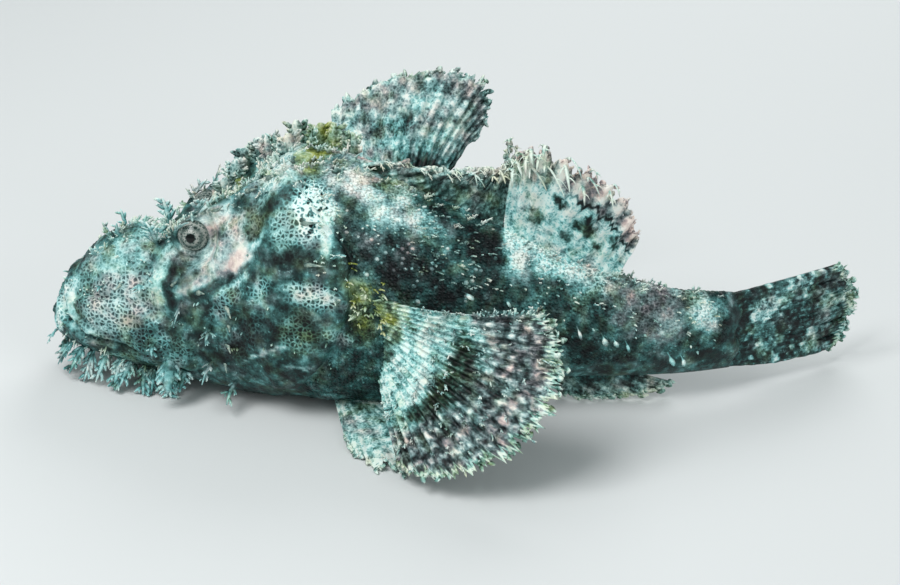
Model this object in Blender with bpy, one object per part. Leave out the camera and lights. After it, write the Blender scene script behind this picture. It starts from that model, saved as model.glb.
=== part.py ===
"""Smallscale scorpionfish at life size, resting on its belly with its pectoral fins spread.

The snout points to -X, the left side faces -Y, and the floor is z = 0. All sizes are in
millimetres; new_object turns them into metres on their way into a mesh. The body is one
loft of unlike sections, cut into head, jaw, trunk and tail stalk. Whatever grows from it
starts inside it and is cut back to GAP above its skin.
"""
import math
import random

import bmesh
import bpy
import numpy as np
from mathutils import Matrix, Vector

MM = 0.001
GAP = 0.3

# Lengths along the body, from which the stations of the profiles are counted.
JAW_TIP_X = -104.0
HEAD_END_X = -8.0
STALK_START_X = 88.0
TAIL_BASE_X = 147.5
TAIL_BEND_START_X = 88.0
TAIL_BEND_RADIUS = 139.0

# Outlines of the body, each a run of (x, value) that smooth_curve rounds.
TOP_PROFILE = (
    (-104, 24.5), (-101, 29.5), (-98, 35.5), (-94.5, 42), (-84, 52), (-72, 57.5), (-62, 59),
    (-45, 68.5), (-22, 85), (-8, 91.5), (6, 90.5), (24, 84.5), (42, 77.5), (70, 65.5), (100, 53),
    (130, 43.5), (147.5, 41),
)
BOTTOM_PROFILE = (
    (-104, 21.5), (-102.5, 16.5), (-98, 12), (-90, 9), (-72, 4.5), (-45, 1), (-25, -1.2), (30, -1.2),
    (46, 2), (70, 8), (95, 10.5), (147.5, 9.5),
)
HALF_WIDTH = (
    (-104, 4.0), (-101.5, 9.5), (-97, 13.5), (-88, 17.5), (-72, 21), (-55, 24), (-35, 29), (-12, 33),
    (8, 33.5), (30, 31), (60, 22.5), (90, 15), (120, 9), (147.5, 5.5),
)
WIDEST_LEVEL = ((-104, 0.5), (-60, 0.4), (0, 0.42), (60, 0.48), (147.5, 0.5))
UPPER_ROUNDNESS = ((-104, 2.0), (-70, 2.3), (-40, 2.2), (-8, 2.35), (25, 1.85), (147.5, 1.9))
LOWER_ROUNDNESS = ((-104, 2.0), (-60, 2.3), (0, 2.6), (45, 2.3), (147.5, 2.0))

# Relief of the skin, one side: start, end, radius, height of a soft ridge or groove.
RELIEF = (
    ((-84, 0, 52), (-72, 0, 58), 9.0, 1.5),
    ((-63.5, 0, 59), (-63.5, 17, 48), 3.4, -2.4),
    ((-53, 9, 65), (-38, 10, 71), 4.2, 3.6),
    ((-52, 0, 66), (-38, 0, 72), 5.0, -3.0),
    ((-30, 0, 80), (-27, 0, 82), 6.0, -3.2),
    ((-35, 9, 76), (-12, 12, 89), 3.2, 2.4),
    ((-60, 22, 47), (-27, 30, 47), 3.6, 2.8),
    ((-24, 31, 58), (-20, 33, 30), 3.0, 1.6),
    ((-98, 4, 34), (-88, 15, 25), 2.6, 1.4),
    ((-88, 15, 25), (-66, 22, 21), 2.6, 1.4),
)

# The cleft of the mouth as an outline in x and z, from its front to its corner and round
# the lower jaw.
MOUTH_CLEFT = ((-99.5, 46), (-98, 36), (-95, 27.5), (-88, 21), (-68, 17.5), (-50, 11))
JAW_HINGE = (-46.5, -4)

EYE_CENTRE = (-46.0, 11.0, 63.0)
EYE_RADIUS = 6.4
SOCKET_RADIUS = EYE_RADIUS + GAP + 0.1
EYE_TILT = math.radians(80)
LID_RING_RADIUS = 6.9
LID_THICKNESS = 1.5
LID_OFFSET = (2.2, 0.4)

SPINE_SUNK = 1.6
TASSEL_SUNK = 1.6
HEAD_STEP = 4.6
TRUNK_STEP = 5.6
STALK_STEP = 5.0
RING_POINTS = 32


def smooth_curve(knots, x):
    """Rounded curve through (x, value) knots, with no overshoot between them."""
    kx, ky = np.array(knots, float).T
    step = np.diff(kx)
    slope = np.diff(ky) / step
    tangent = np.empty_like(ky)
    tangent[0], tangent[-1] = slope[0], slope[-1]
    same = slope[:-1] * slope[1:] > 0
    mean = 2 * slope[:-1] * slope[1:] / np.where(same, slope[:-1] + slope[1:], 1)
    tangent[1:-1] = np.where(same, mean, 0)
    x = np.clip(x, kx[0], kx[-1])
    i = np.clip(np.searchsorted(kx, x, side="right") - 1, 0, len(kx) - 2)
    t = (x - kx[i]) / step[i]
    return (ky[i] * (2 * t**3 - 3 * t**2 + 1) + ky[i + 1] * (3 * t**2 - 2 * t**3)
            + step[i] * (tangent[i] * (t**3 - 2 * t**2 + t) + tangent[i + 1] * (t**3 - t**2)))


def signed_power(value, power):
    return np.sign(value) * np.abs(value) ** power


def relief_height(points):
    """Height of the ridges and grooves at points on the plain loft."""
    mirrored = points * (1, 0, 1) + np.abs(points) * (0, 1, 0)
    height = np.zeros(points.shape[:-1])
    for start, end, radius, rise in RELIEF:
        start, end = np.array(start, float), np.array(end, float)
        along = end - start
        t = np.clip((mirrored - start) @ along / (along @ along), 0, 1)
        distance = np.linalg.norm(mirrored - start - t[..., None] * along, axis=-1)
        height += rise * np.exp(-(distance / radius) ** 2)
    return height


def skin_point(x, around, lift=0.0):
    """Point of the straight body at station x, at an angle from the back line, lifted off it."""
    x, around = np.broadcast_arrays(np.asarray(x, float), np.asarray(around, float))
    top, bottom = smooth_curve(TOP_PROFILE, x), smooth_curve(BOTTOM_PROFILE, x)
    width = smooth_curve(HALF_WIDTH, x)
    middle = bottom + (top - bottom) * smooth_curve(WIDEST_LEVEL, x)
    cosine, sine = np.cos(around), np.sin(around)
    upper = cosine > 0
    power = 2 / np.where(upper, smooth_curve(UPPER_ROUNDNESS, x), smooth_curve(LOWER_ROUNDNESS, x))
    half_height = np.where(upper, top - middle, middle - bottom)
    y = width * signed_power(sine, power)
    z = middle + half_height * signed_power(cosine, power)
    points = np.stack([x, y, z], axis=-1)
    outward = np.stack([0 * x, y / width**2, (z - middle) / half_height**2], axis=-1)
    outward /= np.linalg.norm(outward, axis=-1, keepdims=True)
    points = points + outward * (relief_height(points) + lift)[..., None]
    points[..., 2] = np.maximum(points[..., 2], -lift)
    return points


def bend_tail(points):
    """Curves everything behind the bend's start towards +Y on an arc."""
    points = np.array(points, float)
    past = np.maximum(points[..., 0] - TAIL_BEND_START_X, 0)
    angle = past / TAIL_BEND_RADIUS
    reach = TAIL_BEND_RADIUS - points[..., 1]
    bent = points.copy()
    bent[..., 0] = np.where(past > 0, TAIL_BEND_START_X + reach * np.sin(angle), points[..., 0])
    bent[..., 1] = np.where(past > 0, TAIL_BEND_RADIUS - reach * np.cos(angle), points[..., 1])
    return bent


def new_object(name, vertices, faces):
    """Mesh object from millimetre vertices, with its faces turned outwards."""
    mesh = bpy.data.meshes.new(name)
    mesh.from_pydata([tuple(v) for v in np.asarray(vertices) * MM], [], faces)
    shape = bmesh.new()
    shape.from_mesh(mesh)
    bmesh.ops.recalc_face_normals(shape, faces=shape.faces[:])
    shape.to_mesh(mesh)
    shape.free()
    thing = bpy.data.objects.new(name, mesh)
    bpy.context.scene.collection.objects.link(thing)
    return thing


def tube_solid(name, grid, fanned=True):
    """Closed solid from rings of points, with a fan or one flat face over each end."""
    rings, count = grid.shape[:2]
    vertices = grid.reshape(-1, 3)
    faces = []
    for r in range(rings - 1):
        for c in range(count):
            d = (c + 1) % count
            a, b = r * count + c, r * count + d
            faces += [(a, b, b + count), (a, b + count, a + count)]
    if not fanned:
        faces += [tuple(range(count)), tuple(range((rings - 1) * count, rings * count))]
        return new_object(name, vertices, faces)
    vertices = np.vstack([vertices, grid[0].mean(0), grid[-1].mean(0)])
    first, last = rings * count, rings * count + 1
    for c in range(count):
        d = (c + 1) % count
        faces.append((first, d, c))
        faces.append((last, (rings - 1) * count + c, (rings - 1) * count + d))
    return new_object(name, vertices, faces)


def sheet_solid(name, front, back):
    """Closed thin solid between two grids of points, split into triangles alike on both."""
    rows, columns = front.shape[:2]
    size = rows * columns
    vertices = np.vstack([front.reshape(-1, 3), back.reshape(-1, 3)])
    faces = []
    for r in range(rows - 1):
        for c in range(columns - 1):
            a = r * columns + c
            corner = (a, a + 1, a + columns + 1, a + columns)
            faces += [corner[:3], (corner[0], corner[2], corner[3])]
            faces += [tuple(size + i for i in reversed(corner[:3]))]
            faces += [(size + corner[0], size + corner[3], size + corner[2])]
    rim = list(range(columns))
    rim += [r * columns + columns - 1 for r in range(1, rows)]
    rim += [(rows - 1) * columns + c for c in range(columns - 2, -1, -1)]
    rim += [r * columns for r in range(rows - 2, 0, -1)]
    for i, a in enumerate(rim):
        b = rim[(i + 1) % len(rim)]
        faces += [(b, a, size + a), (b, size + a, size + b)]
    return new_object(name, vertices, faces)


def boolean(thing, operation, other=None, group=None, solver="EXACT"):
    """Applies one Boolean to an object and leaves it as a plain mesh."""
    step = thing.modifiers.new("cut", "BOOLEAN")
    step.operation = operation
    step.solver = solver
    if group is not None:
        step.operand_type = "COLLECTION"
        step.collection = group
    else:
        step.object = other
    bpy.context.view_layer.update()
    graph = bpy.context.evaluated_depsgraph_get()
    result = bpy.data.meshes.new_from_object(thing.evaluated_get(graph))
    thing.modifiers.clear()
    thing.data = result
    keep_largest(thing)


def keep_largest(thing):
    """Keeps the largest closed surface of an object and drops loose scraps."""
    shape = bmesh.new()
    shape.from_mesh(thing.data)
    bmesh.ops.remove_doubles(shape, verts=shape.verts[:], dist=0.01 * MM)
    seen = set()
    islands = []
    for seed in shape.verts:
        if seed in seen:
            continue
        island, front = [], [seed]
        seen.add(seed)
        while front:
            vertex = front.pop()
            island.append(vertex)
            for edge in vertex.link_edges:
                other = edge.other_vert(vertex)
                if other not in seen:
                    seen.add(other)
                    front.append(other)
        islands.append(island)
    islands.sort(key=len, reverse=True)
    scraps = [vertex for island in islands[1:] for vertex in island]
    bmesh.ops.delete(shape, geom=scraps, context="VERTS")
    bmesh.ops.triangulate(shape, faces=[f for f in shape.faces if len(f.verts) > 3])
    shape.to_mesh(thing.data)
    shape.free()


def move_to(thing, group):
    """Takes an object out of its collections and links it to another."""
    for old in thing.users_collection:
        old.objects.unlink(thing)
    group.objects.link(thing)


def fuse(thing, pieces):
    """Joins closed pieces to a node by one union on a collection."""
    if not pieces:
        return
    group = bpy.data.collections.new("pieces")
    for piece in pieces:
        move_to(piece, group)
    boolean(thing, "UNION", group=group, solver="MANIFOLD")
    for piece in pieces:
        bpy.data.objects.remove(piece)
    bpy.data.collections.remove(group)


def cut_away(thing, cutter):
    boolean(thing, "DIFFERENCE", other=cutter)


def angle_at_level(x, z):
    """Angle from the back line at which the skin of station x has the height z."""
    top, bottom = float(smooth_curve(TOP_PROFILE, x)), float(smooth_curve(BOTTOM_PROFILE, x))
    middle = bottom + (top - bottom) * float(smooth_curve(WIDEST_LEVEL, x))
    upper = z > middle
    roundness = float(smooth_curve(UPPER_ROUNDNESS if upper else LOWER_ROUNDNESS, x))
    height = (z - middle) / (top - middle if upper else middle - bottom)
    cosine = signed_power(np.clip(height, -1, 1), roundness / 2)
    return math.acos(float(cosine))


def rooted(x, z, side, lift=0.0):
    """Foot of something that grows from the skin, and the direction straight out of the skin."""
    angle = side * angle_at_level(x, z)
    foot = bend_tail(skin_point(x, angle, lift))
    out = bend_tail(skin_point(x, angle, lift + 1)) - foot
    return foot, out / np.linalg.norm(out)


def aim(out, back, up):
    """Unit direction that leans from straight out towards the tail and upwards."""
    direction = out + np.array((back, 0, up), float)
    return direction / np.linalg.norm(direction)


def body_stations():
    """Stations of the whole loft, closer together at the snout, with one at each cut."""
    runs = ((JAW_TIP_X, HEAD_END_X, HEAD_STEP, 1.25), (HEAD_END_X, STALK_START_X, TRUNK_STEP, 1),
            (STALK_START_X, TAIL_BASE_X, STALK_STEP, 1))
    stations = [JAW_TIP_X]
    for start, end, step, crowding in runs:
        share = np.linspace(0, 1, round((end - start) / step) + 1)[1:]
        stations += list(start + (end - start) * share**crowding)
    return np.array(stations)


def body_segment(name, start, end, lift=0.0):
    """Closed loft of the body between two stations, bent as the tail is."""
    inside = body_stations()
    inside = inside[(inside > start + GAP) & (inside < end - GAP)]
    stations = np.array([start, *inside, end])
    around = np.linspace(0, 2 * math.pi, RING_POINTS, endpoint=False)
    grid = skin_point(stations[:, None], around[None, :], lift)
    grid[0, :, 0] -= lift
    grid[-1, :, 0] += lift
    return tube_solid(name, bend_tail(grid))


def spine(foot, direction, length, radius):
    """Tapered five-sided spine with its root sunk into what carries it."""
    bpy.ops.mesh.primitive_cone_add(vertices=5, radius1=radius * MM, radius2=0.25 * MM,
                                    depth=(length + SPINE_SUNK) * MM)
    cone = bpy.context.object
    middle = foot + direction * (length - SPINE_SUNK) / 2
    turn = Vector(direction).to_track_quat("Z", "Y").to_matrix().to_4x4()
    cone.data.transform(Matrix.Translation(Vector(middle) * MM) @ turn)
    return cone


def blade(foot, direction, across, length, width, thickness, sag, rings):
    """Flat tapering blade of skin that bends downwards and lies on the floor where it meets it."""
    along = np.linspace(-TASSEL_SUNK / length, 1, rings)
    across = across - direction * (across @ direction)
    across = across / np.linalg.norm(across)
    flat = np.cross(direction, across)
    grid = []
    for t in along:
        grown = max(t, 0)
        centre = foot + direction * length * t - np.array((0, 0, sag * length * grown**2))
        centre[2] = max(centre[2], thickness / 2 + 0.3)
        half_width = width / 2 * (1 - 0.72 * grown**1.4)
        half_depth = thickness / 2 * (1 - 0.35 * grown)
        corners = [centre + across * half_width, centre - across * half_width]
        corners[1:1] = [centre + flat * half_depth]
        if rings > 2:
            corners.append(centre - flat * half_depth)
        grid.append(corners)
    return tube_solid("blade", np.array(grid), fanned=False)


def tassel(foot, direction, across, length, width, fingers, sag, chance):
    """Blade of skin with a few fingers that branch off its two edges."""
    length = length * chance.uniform(0.85, 1.15)
    pieces = [blade(foot, direction, across, length, width, 1.1, sag, 3 if fingers == 0 else 4)]
    for i in range(fingers):
        t = (i + 1) / (fingers + 1)
        edge = 1 if i % 2 else -1
        start = foot + direction * length * t - np.array((0, 0, sag * length * t**2))
        branch = direction + edge * 0.9 * across
        branch = branch / np.linalg.norm(branch)
        pieces.append(blade(start, branch, across, length * 0.42, width * 0.34, 0.9, sag, 2))
    return pieces


def roll(name, centres, outs, radius):
    """Five-sided tube along a run of centres, such as a lip."""
    centres, outs = np.array(centres), np.array(outs)
    along = np.gradient(centres, axis=0)
    along /= np.linalg.norm(along, axis=1, keepdims=True)
    beside = np.cross(along, outs)
    turns = np.linspace(0, 2 * math.pi, 5, endpoint=False)
    grid = [[c + radius * (math.cos(a) * o + math.sin(a) * b) for a in turns]
            for c, o, b in zip(centres, outs, beside)]
    return tube_solid(name, np.array(grid), fanned=False)


def prism(name, outline, half_depth):
    """Prism with its outline in x and z, across the body."""
    count = len(outline)
    vertices = [(x, side * half_depth, z) for side in (-1, 1) for x, z in outline]
    faces = [tuple(range(count)), tuple(range(2 * count - 1, count - 1, -1))]
    faces += [(i, (i + 1) % count, count + (i + 1) % count, count + i) for i in range(count)]
    return new_object(name, vertices, faces)


def fan(roots, knees, tips, rows, between, ray_width, web_width, notch, root_width=None):
    """Two grids of a fin: rays from roots over knees to tips, a thinner web between them.

    notch is how far the web's edge draws back from the ray tips, as a share of the ray.
    """
    roots, knees, tips = (np.array(p, float) for p in (roots, knees, tips))
    rays = len(roots)
    columns = (rays - 1) * between + 1
    position = np.arange(columns) / between
    nearest = np.abs(position - np.round(position))
    reach = 1 - notch * np.clip(nearest * between, 0, 1)
    ray_share = np.clip(1 - nearest * between, 0, 1)
    index = np.arange(rays)
    lines = [np.stack([np.interp(position, index, p[:, k]) for k in range(3)], -1)
             for p in (roots, knees, tips)]
    t = np.linspace(0, 1, rows)[:, None] * reach[None, :]
    t = t[..., None]
    middle = (1 - t) ** 2 * lines[0] + 2 * t * (1 - t) * lines[1] + t**2 * lines[2]
    down, across = np.gradient(middle, axis=0), np.gradient(middle, axis=1)
    normal = np.cross(across, down)
    normal /= np.linalg.norm(normal, axis=-1, keepdims=True)
    taper = 1 - 0.55 * t[..., 0]
    thickness = web_width + (ray_width - web_width) * ray_share * taper
    if root_width is not None:
        thickness = thickness + (root_width - thickness) * np.clip(1 - 4 * t[..., 0], 0, 1)
    half = (thickness / 2)[..., None] * normal
    return middle + half, middle - half


def interpolate(points, count):
    """count points along a rounded run through a few named ones."""
    points = np.array(points, float)
    knots = np.linspace(0, 1, len(points))
    t = np.linspace(0, 1, count)
    return np.stack([smooth_curve(tuple(zip(knots, points[:, k])), t) for k in range(3)], -1)


# Fins on the mid line. Lengths run from the first spine or ray to the last.
SPINE_COUNT = 12
SPINE_BASES_X = (8.0, 61.0)
SPINE_LENGTHS = ((0, 11), (0.15, 16), (0.4, 19), (0.7, 20), (0.85, 22), (1, 31))
SPINE_ANGLES = ((0, 14), (0.2, 16), (0.45, 30), (0.7, 46), (0.85, 62), (1, 82))
SOFT_RAY_COUNT = 10
SOFT_BASES_X = (64.5, 105.0)
SOFT_TIPS = (
    (69, -3, 97), (78, -5, 100.5), (91, -6, 95), (104, -5, 86), (110, -3, 74), (112, -1, 64),
)
ANAL_COUNT = 8
ANAL_BASES_X = (75.0, 105.0)
ANAL_TIPS = ((86, -1.5, 1.5), (100, -2, 0.9), (112, -2, 1.2), (124, -1, 3.5), (127, 0, 6))
TAIL_RAY_COUNT = 13
TAIL_FIN_LENGTH = 58.0
TAIL_FIN_ROOT_HALF = 14.0
TAIL_FIN_TIP_HALF = 18.0
TAIL_FIN_TIP_LEVEL = 23.0
SUNK = 3.0


def spinous_dorsal_fin():
    share = np.linspace(0, 1, SPINE_COUNT)
    base_x = SPINE_BASES_X[0] + (SPINE_BASES_X[1] - SPINE_BASES_X[0]) * share
    base_z = smooth_curve(TOP_PROFILE, base_x) - SUNK
    length = smooth_curve(SPINE_LENGTHS, share) + SUNK
    angle = np.radians(smooth_curve(SPINE_ANGLES, share))
    lean = np.where(np.arange(SPINE_COUNT) % 2 == 0, -1.6, 1.0)
    roots = np.stack([base_x, 0 * base_x, base_z], -1)
    tips = roots + np.stack([length * np.cos(angle), lean, length * np.sin(angle)], -1)
    knees = (roots + tips) / 2 + np.stack([0 * lean, 0 * lean, 0.06 * length], -1)
    front, back = fan(roots, knees, tips, 5, 2, 2.2, 0.9, 0.3, 3.0)
    fin = sheet_solid("spinous_dorsal_fin", bend_tail(front), bend_tail(back))
    chance = random.Random(3)
    flags = []
    for tip, root in list(zip(tips, roots))[::2]:
        spine_run = tip - root
        direction = aim(spine_run / np.linalg.norm(spine_run), 0.2, 0.5)
        across = np.array((0.7, 0, -0.7))
        flags += tassel(tip - spine_run * 0.12, direction, across, 8, 3.4, 0, 0.1, chance)
    fuse(fin, flags)
    return fin


def soft_dorsal_fin():
    base_x = np.linspace(*SOFT_BASES_X, SOFT_RAY_COUNT)
    roots = np.stack([base_x, 0 * base_x, smooth_curve(TOP_PROFILE, base_x) - SUNK], -1)
    tips = interpolate(SOFT_TIPS, SOFT_RAY_COUNT)
    knees = (roots + tips) / 2 + (-1.5, -1.5, 1.0)
    front, back = fan(roots, knees, tips, 7, 2, 1.7, 0.7, 0.07, 3.0)
    return sheet_solid("soft_dorsal_fin", bend_tail(front), bend_tail(back))


def anal_fin():
    base_x = np.linspace(*ANAL_BASES_X, ANAL_COUNT)
    roots = np.stack([base_x, 0 * base_x, smooth_curve(BOTTOM_PROFILE, base_x) + SUNK], -1)
    tips = interpolate(ANAL_TIPS, ANAL_COUNT)
    knees = (roots + tips) / 2 + (1.0, 0, -0.6)
    front, back = fan(roots, knees, tips, 6, 2, 1.7, 0.7, 0.12, 2.6)
    return sheet_solid("anal_fin", bend_tail(front), bend_tail(back))


def caudal_fin():
    share = np.linspace(-1, 1, TAIL_RAY_COUNT)
    root_level = (smooth_curve(TOP_PROFILE, TAIL_BASE_X) + smooth_curve(BOTTOM_PROFILE, TAIL_BASE_X)) / 2
    round_off = TAIL_FIN_LENGTH * (1 - 0.16 * share**2)
    roots = np.stack([np.full_like(share, TAIL_BASE_X - SUNK), 0 * share,
                      root_level + TAIL_FIN_ROOT_HALF * share], -1)
    ripple = 0.8 * np.cos(np.arange(TAIL_RAY_COUNT) * math.pi)
    tips = np.stack([TAIL_BASE_X + round_off, ripple, TAIL_FIN_TIP_LEVEL + TAIL_FIN_TIP_HALF * share], -1)
    knees = (roots + tips) / 2 + np.stack([0 * share, 0 * share, 2.5 * share], -1)
    front, back = fan(roots, knees, tips, 6, 2, 1.8, 0.7, 0.05, 3.2)
    return sheet_solid("caudal_fin", bend_tail(front), bend_tail(back))


# Paired fins. Roots run from the upper end of the fin's base to the lower, inside the body.
PECTORAL_RAY_COUNT = 19
LEFT_PECTORAL_BASE = ((20, 27.5, 51), (23, 26.5, 38), (22, 20, 20))
RIGHT_PECTORAL_BASE = ((20, 27, 57), (23, 26.5, 40), (22, 20, 20))
LEFT_PECTORAL_TIPS = (
    (84, -50, 62), (90, -58, 54), (92, -64, 45), (89, -69, 35), (82, -72, 25),
    (72, -75, 17), (60, -76, 11), (47, -73, 7), (37, -65, 5),
)
RIGHT_PECTORAL_TIPS = (
    (-9, 60, 83), (4, 64, 91), (20, 67, 97), (36, 69, 98), (48, 70, 93),
    (50, 70, 84), (47, 68, 75), (40, 66, 68), (31, 62, 63),
)
LEFT_KNEE_PUSHES = ((0, -7, -4), (0, -7, 1), (0, -7, 2), (0, -7, 2))
RIGHT_KNEE_PUSHES = ((-12, 6, -3), (-10, 8, 1), (-8, 9, 3), (-8, 9, 3))
PELVIC_RAY_COUNT = 6
PELVIC_BASE = ((2, 11, 4.5), (11, 9, 4.5))
LEFT_PELVIC_TIPS = ((12, -40, 1.0), (20, -55, 1.0), (32, -62, 1.0), (43, -57, 1.0), (49, -45, 1.0))
RIGHT_PELVIC_TIPS = ((20, 42, 1.0), (34, 50, 1.0), (45, 45, 1.0), (50, 35, 1.0))


def pectoral_fin(name, side, base, tip_run, knee_pushes):
    roots = interpolate(base, PECTORAL_RAY_COUNT) * (1, side, 1)
    tips = interpolate(tip_run, PECTORAL_RAY_COUNT)
    knees = 0.45 * roots + 0.55 * tips + interpolate(knee_pushes, PECTORAL_RAY_COUNT)
    front, back = fan(roots, knees, tips, 6, 2, 2.0, 0.8, 0.06, 4.4)
    for grid in (front, back):
        grid[..., 2] = np.maximum(grid[..., 2], 0)
    return sheet_solid(name, front, back)


def pelvic_fin(name, side, tip_run):
    roots = interpolate(PELVIC_BASE, PELVIC_RAY_COUNT) * (1, side, 1)
    tips = interpolate(tip_run, PELVIC_RAY_COUNT)
    knees = (roots + tips) / 2 + (0, 0, 0.8)
    front, back = fan(roots, knees, tips, 6, 2, 1.8, 0.8, 0.1, 3.0)
    for grid in (front, back):
        grid[..., 2] = np.maximum(grid[..., 2], 0)
    return sheet_solid(name, front, back)


# Plates that lie on the head: their edges as (x, angle from the back line in degrees).
GILL_COVER_FRONT = ((-20, 30), (-24, 58), (-23, 90), (-18, 120))
GILL_COVER_BACK = ((-6, 26), (4, 43), (14, 60), (14, 76), (7, 96), (-6, 124))
GILL_COVER_THICKNESS = 3.2
MAXILLA_TOP = ((-93, 62), (-80, 70), (-66, 74), (-44, 84))
MAXILLA_BOTTOM = ((-91, 82), (-78, 96), (-64, 108), (-44, 122))
MAXILLA_THICKNESS = 2.6
PLATE_EDGE = 1.1
PLATE_SUNK = 1.2
PLATE_ROWS = 6
PLATE_COLUMNS = 9
SWELL_SHARE = 0.06
COVER_CLEARANCE = 1.0


def plate(name, side, first_edge, second_edge, thickness, swell=0.0):
    """Plate over the skin between two runs of (x, angle), fullest in its middle.

    swell grows it on every side, for the room that another piece leaves round it.
    """
    columns = PLATE_COLUMNS
    t = np.linspace(0, 1, columns)
    runs = []
    for edge in (first_edge, second_edge):
        knots = np.linspace(0, 1, len(edge))
        edge = np.array(edge, float)
        runs.append(np.stack([smooth_curve(tuple(zip(knots, edge[:, k])), t) for k in range(2)], -1))
    share = np.linspace(-1, 1, PLATE_ROWS)[:, None, None]
    u = np.linspace(-1, 1, PLATE_ROWS)[:, None]
    v = np.linspace(-1, 1, columns)[None, :]
    rounded = np.maximum(1 - v**8, 0.12)[..., None] ** 0.5
    flat = (runs[0] + runs[1]) / 2 + (runs[1] - runs[0]) / 2 * share * rounded
    crown = np.sqrt((1 - u**2) * (1 - v**2))
    centre = flat.mean((0, 1))
    flat = centre + (flat - centre) * (1 + SWELL_SHARE * swell)
    angle = np.radians(flat[..., 1]) * side
    lift = GAP + PLATE_EDGE + (thickness - PLATE_EDGE) * crown + swell
    outer = skin_point(flat[..., 0], angle, lift)
    inner = skin_point(flat[..., 0], angle, -PLATE_SUNK)
    return sheet_solid(name, outer, inner)


def eye_place(side, outward=0.0, upward=0.0):
    """Place and tilt of an eye, or of what lies further out and up on its axis."""
    x, y, z = EYE_CENTRE
    place = Matrix.Translation(Vector((x, side * (y + outward), z + upward)) * MM)
    return place @ Matrix.Rotation(-side * EYE_TILT, 4, "X")


def eye(name, side):
    bpy.ops.mesh.primitive_uv_sphere_add(segments=14, ring_count=9, radius=EYE_RADIUS * MM)
    ball = bpy.context.object
    ball.name = name
    ball.data.transform(eye_place(side))
    return ball


def socket(side):
    bpy.ops.mesh.primitive_uv_sphere_add(segments=14, ring_count=9, radius=SOCKET_RADIUS * MM)
    hollow = bpy.context.object
    hollow.data.transform(eye_place(side))
    return hollow


def lid_ring(side):
    bpy.ops.mesh.primitive_torus_add(major_segments=15, minor_segments=5,
                                     major_radius=LID_RING_RADIUS * MM, minor_radius=LID_THICKNESS * MM)
    ring = bpy.context.object
    ring.data.transform(eye_place(side, *LID_OFFSET))
    return ring


# What stands on the skin. Spines: x, z, length, radius, lean back, lean up, on both sides.
HEAD_SPINES = (
    (-73, 56, 3.5, 1.0, 0.9, 0.3), (-41, 70.5, 4.0, 1.2, 1.0, 0.3), (-36, 73.5, 4.2, 1.2, 1.2, 0.3),
    (-24, 81.5, 5.0, 1.3, 1.4, 0.2), (-16, 86.5, 4.8, 1.3, 1.4, 0.1), (-73, 44, 3.4, 1.1, -0.3, -0.5),
    (-60, 43, 3.6, 1.2, 0.5, -0.7), (-51, 48, 3.2, 1.1, 0.9, 0.1), (-40, 48, 3.6, 1.2, 1.1, 0.1),
    (-30.5, 44, 5.6, 1.4, 0.8, 0.1), (-30.5, 36, 4.2, 1.2, 0.7, 0), (-31, 28, 4.0, 1.2, 0.6, -0.1),
    (-33, 20, 3.6, 1.1, 0.4, -0.3),
)
GILL_COVER_SPINES = ((-2, 77, 7.0, 1.2, 1.6, 0.1), (0, 64, 7.0, 1.2, 1.8, 0.1))
# Tassels: x, z, length, width, lean back, lean up, fingers, sag, and the sides that have
# them.
BOTH, NEAR, FAR = (-1, 1), (-1,), (1,)
HEAD_TASSELS = (
    (-84, 50, 5.5, 3.0, -0.4, 0.6, 0, 0.1, BOTH), (-76, 56, 7.5, 3.4, 0.1, 1.0, 1, 0.1, BOTH),
    (-61, 57, 11.0, 4.6, 0.1, 1.2, 3, 0.1, BOTH), (-51, 69, 7.5, 3.2, 0.2, 1.4, 0, 0.1, BOTH),
    (-43, 72, 9.0, 4.0, 0.4, 1.2, 2, 0.1, BOTH), (-31, 79, 5.5, 3.0, 0.4, 1.0, 0, 0.1, BOTH),
    (-80, 42, 6.0, 3.0, -0.2, 0.1, 0, 0.3, BOTH), (-66, 45, 8.0, 3.6, 0.1, -0.1, 1, 0.3, BOTH),
    (-50, 40, 6.0, 3.0, 0.2, 0.0, 0, 0.4, BOTH), (-38, 34, 7.0, 3.2, 0.1, -0.2, 0, 0.4, BOTH),
    (-38, 20, 8.0, 3.6, 0.0, -0.2, 1, 0.4, BOTH), (-30, 11, 8.0, 3.4, 0.0, 0.0, 0, 0.4, BOTH),
    (-30, 78, 8.0, 7.6, 0.0, 2.0, 0, 0.0, FAR), (-21.5, 84, 8.5, 6.6, 0.0, 2.0, 0, 0.0, FAR),
    (-13.5, 89.5, 8.5, 5.8, 0.0, 2.0, 0, 0.0, FAR), (-19, 83, 3.5, 4.0, 0.2, 1.0, 0, 0.0, NEAR),
)
JAW_TASSELS = (
    (-101, 19, 7.0, 3.2, -0.7, -0.2, 0, 0.5, BOTH), (-95, 14, 11.0, 4.2, -0.5, -0.1, 2, 0.5, BOTH),
    (-87, 10.5, 12.0, 4.4, -0.2, 0.1, 2, 0.4, BOTH), (-76, 8, 11.0, 4.2, 0.0, 0.2, 1, 0.4, BOTH),
    (-67, 6.5, 10.0, 4.0, 0.1, 0.2, 1, 0.4, BOTH), (-58, 5.5, 9.0, 3.6, 0.1, 0.3, 0, 0.4, BOTH),
)
MAXILLA_TASSELS = ((-60, 24, 6.0, 3.0, 0.1, -0.1, 0, 0.4, BOTH),)
GILL_COVER_TASSELS = ((8, 66, 7.0, 4.0, 0.9, 0.7, 0, 0.1, BOTH),)
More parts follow.
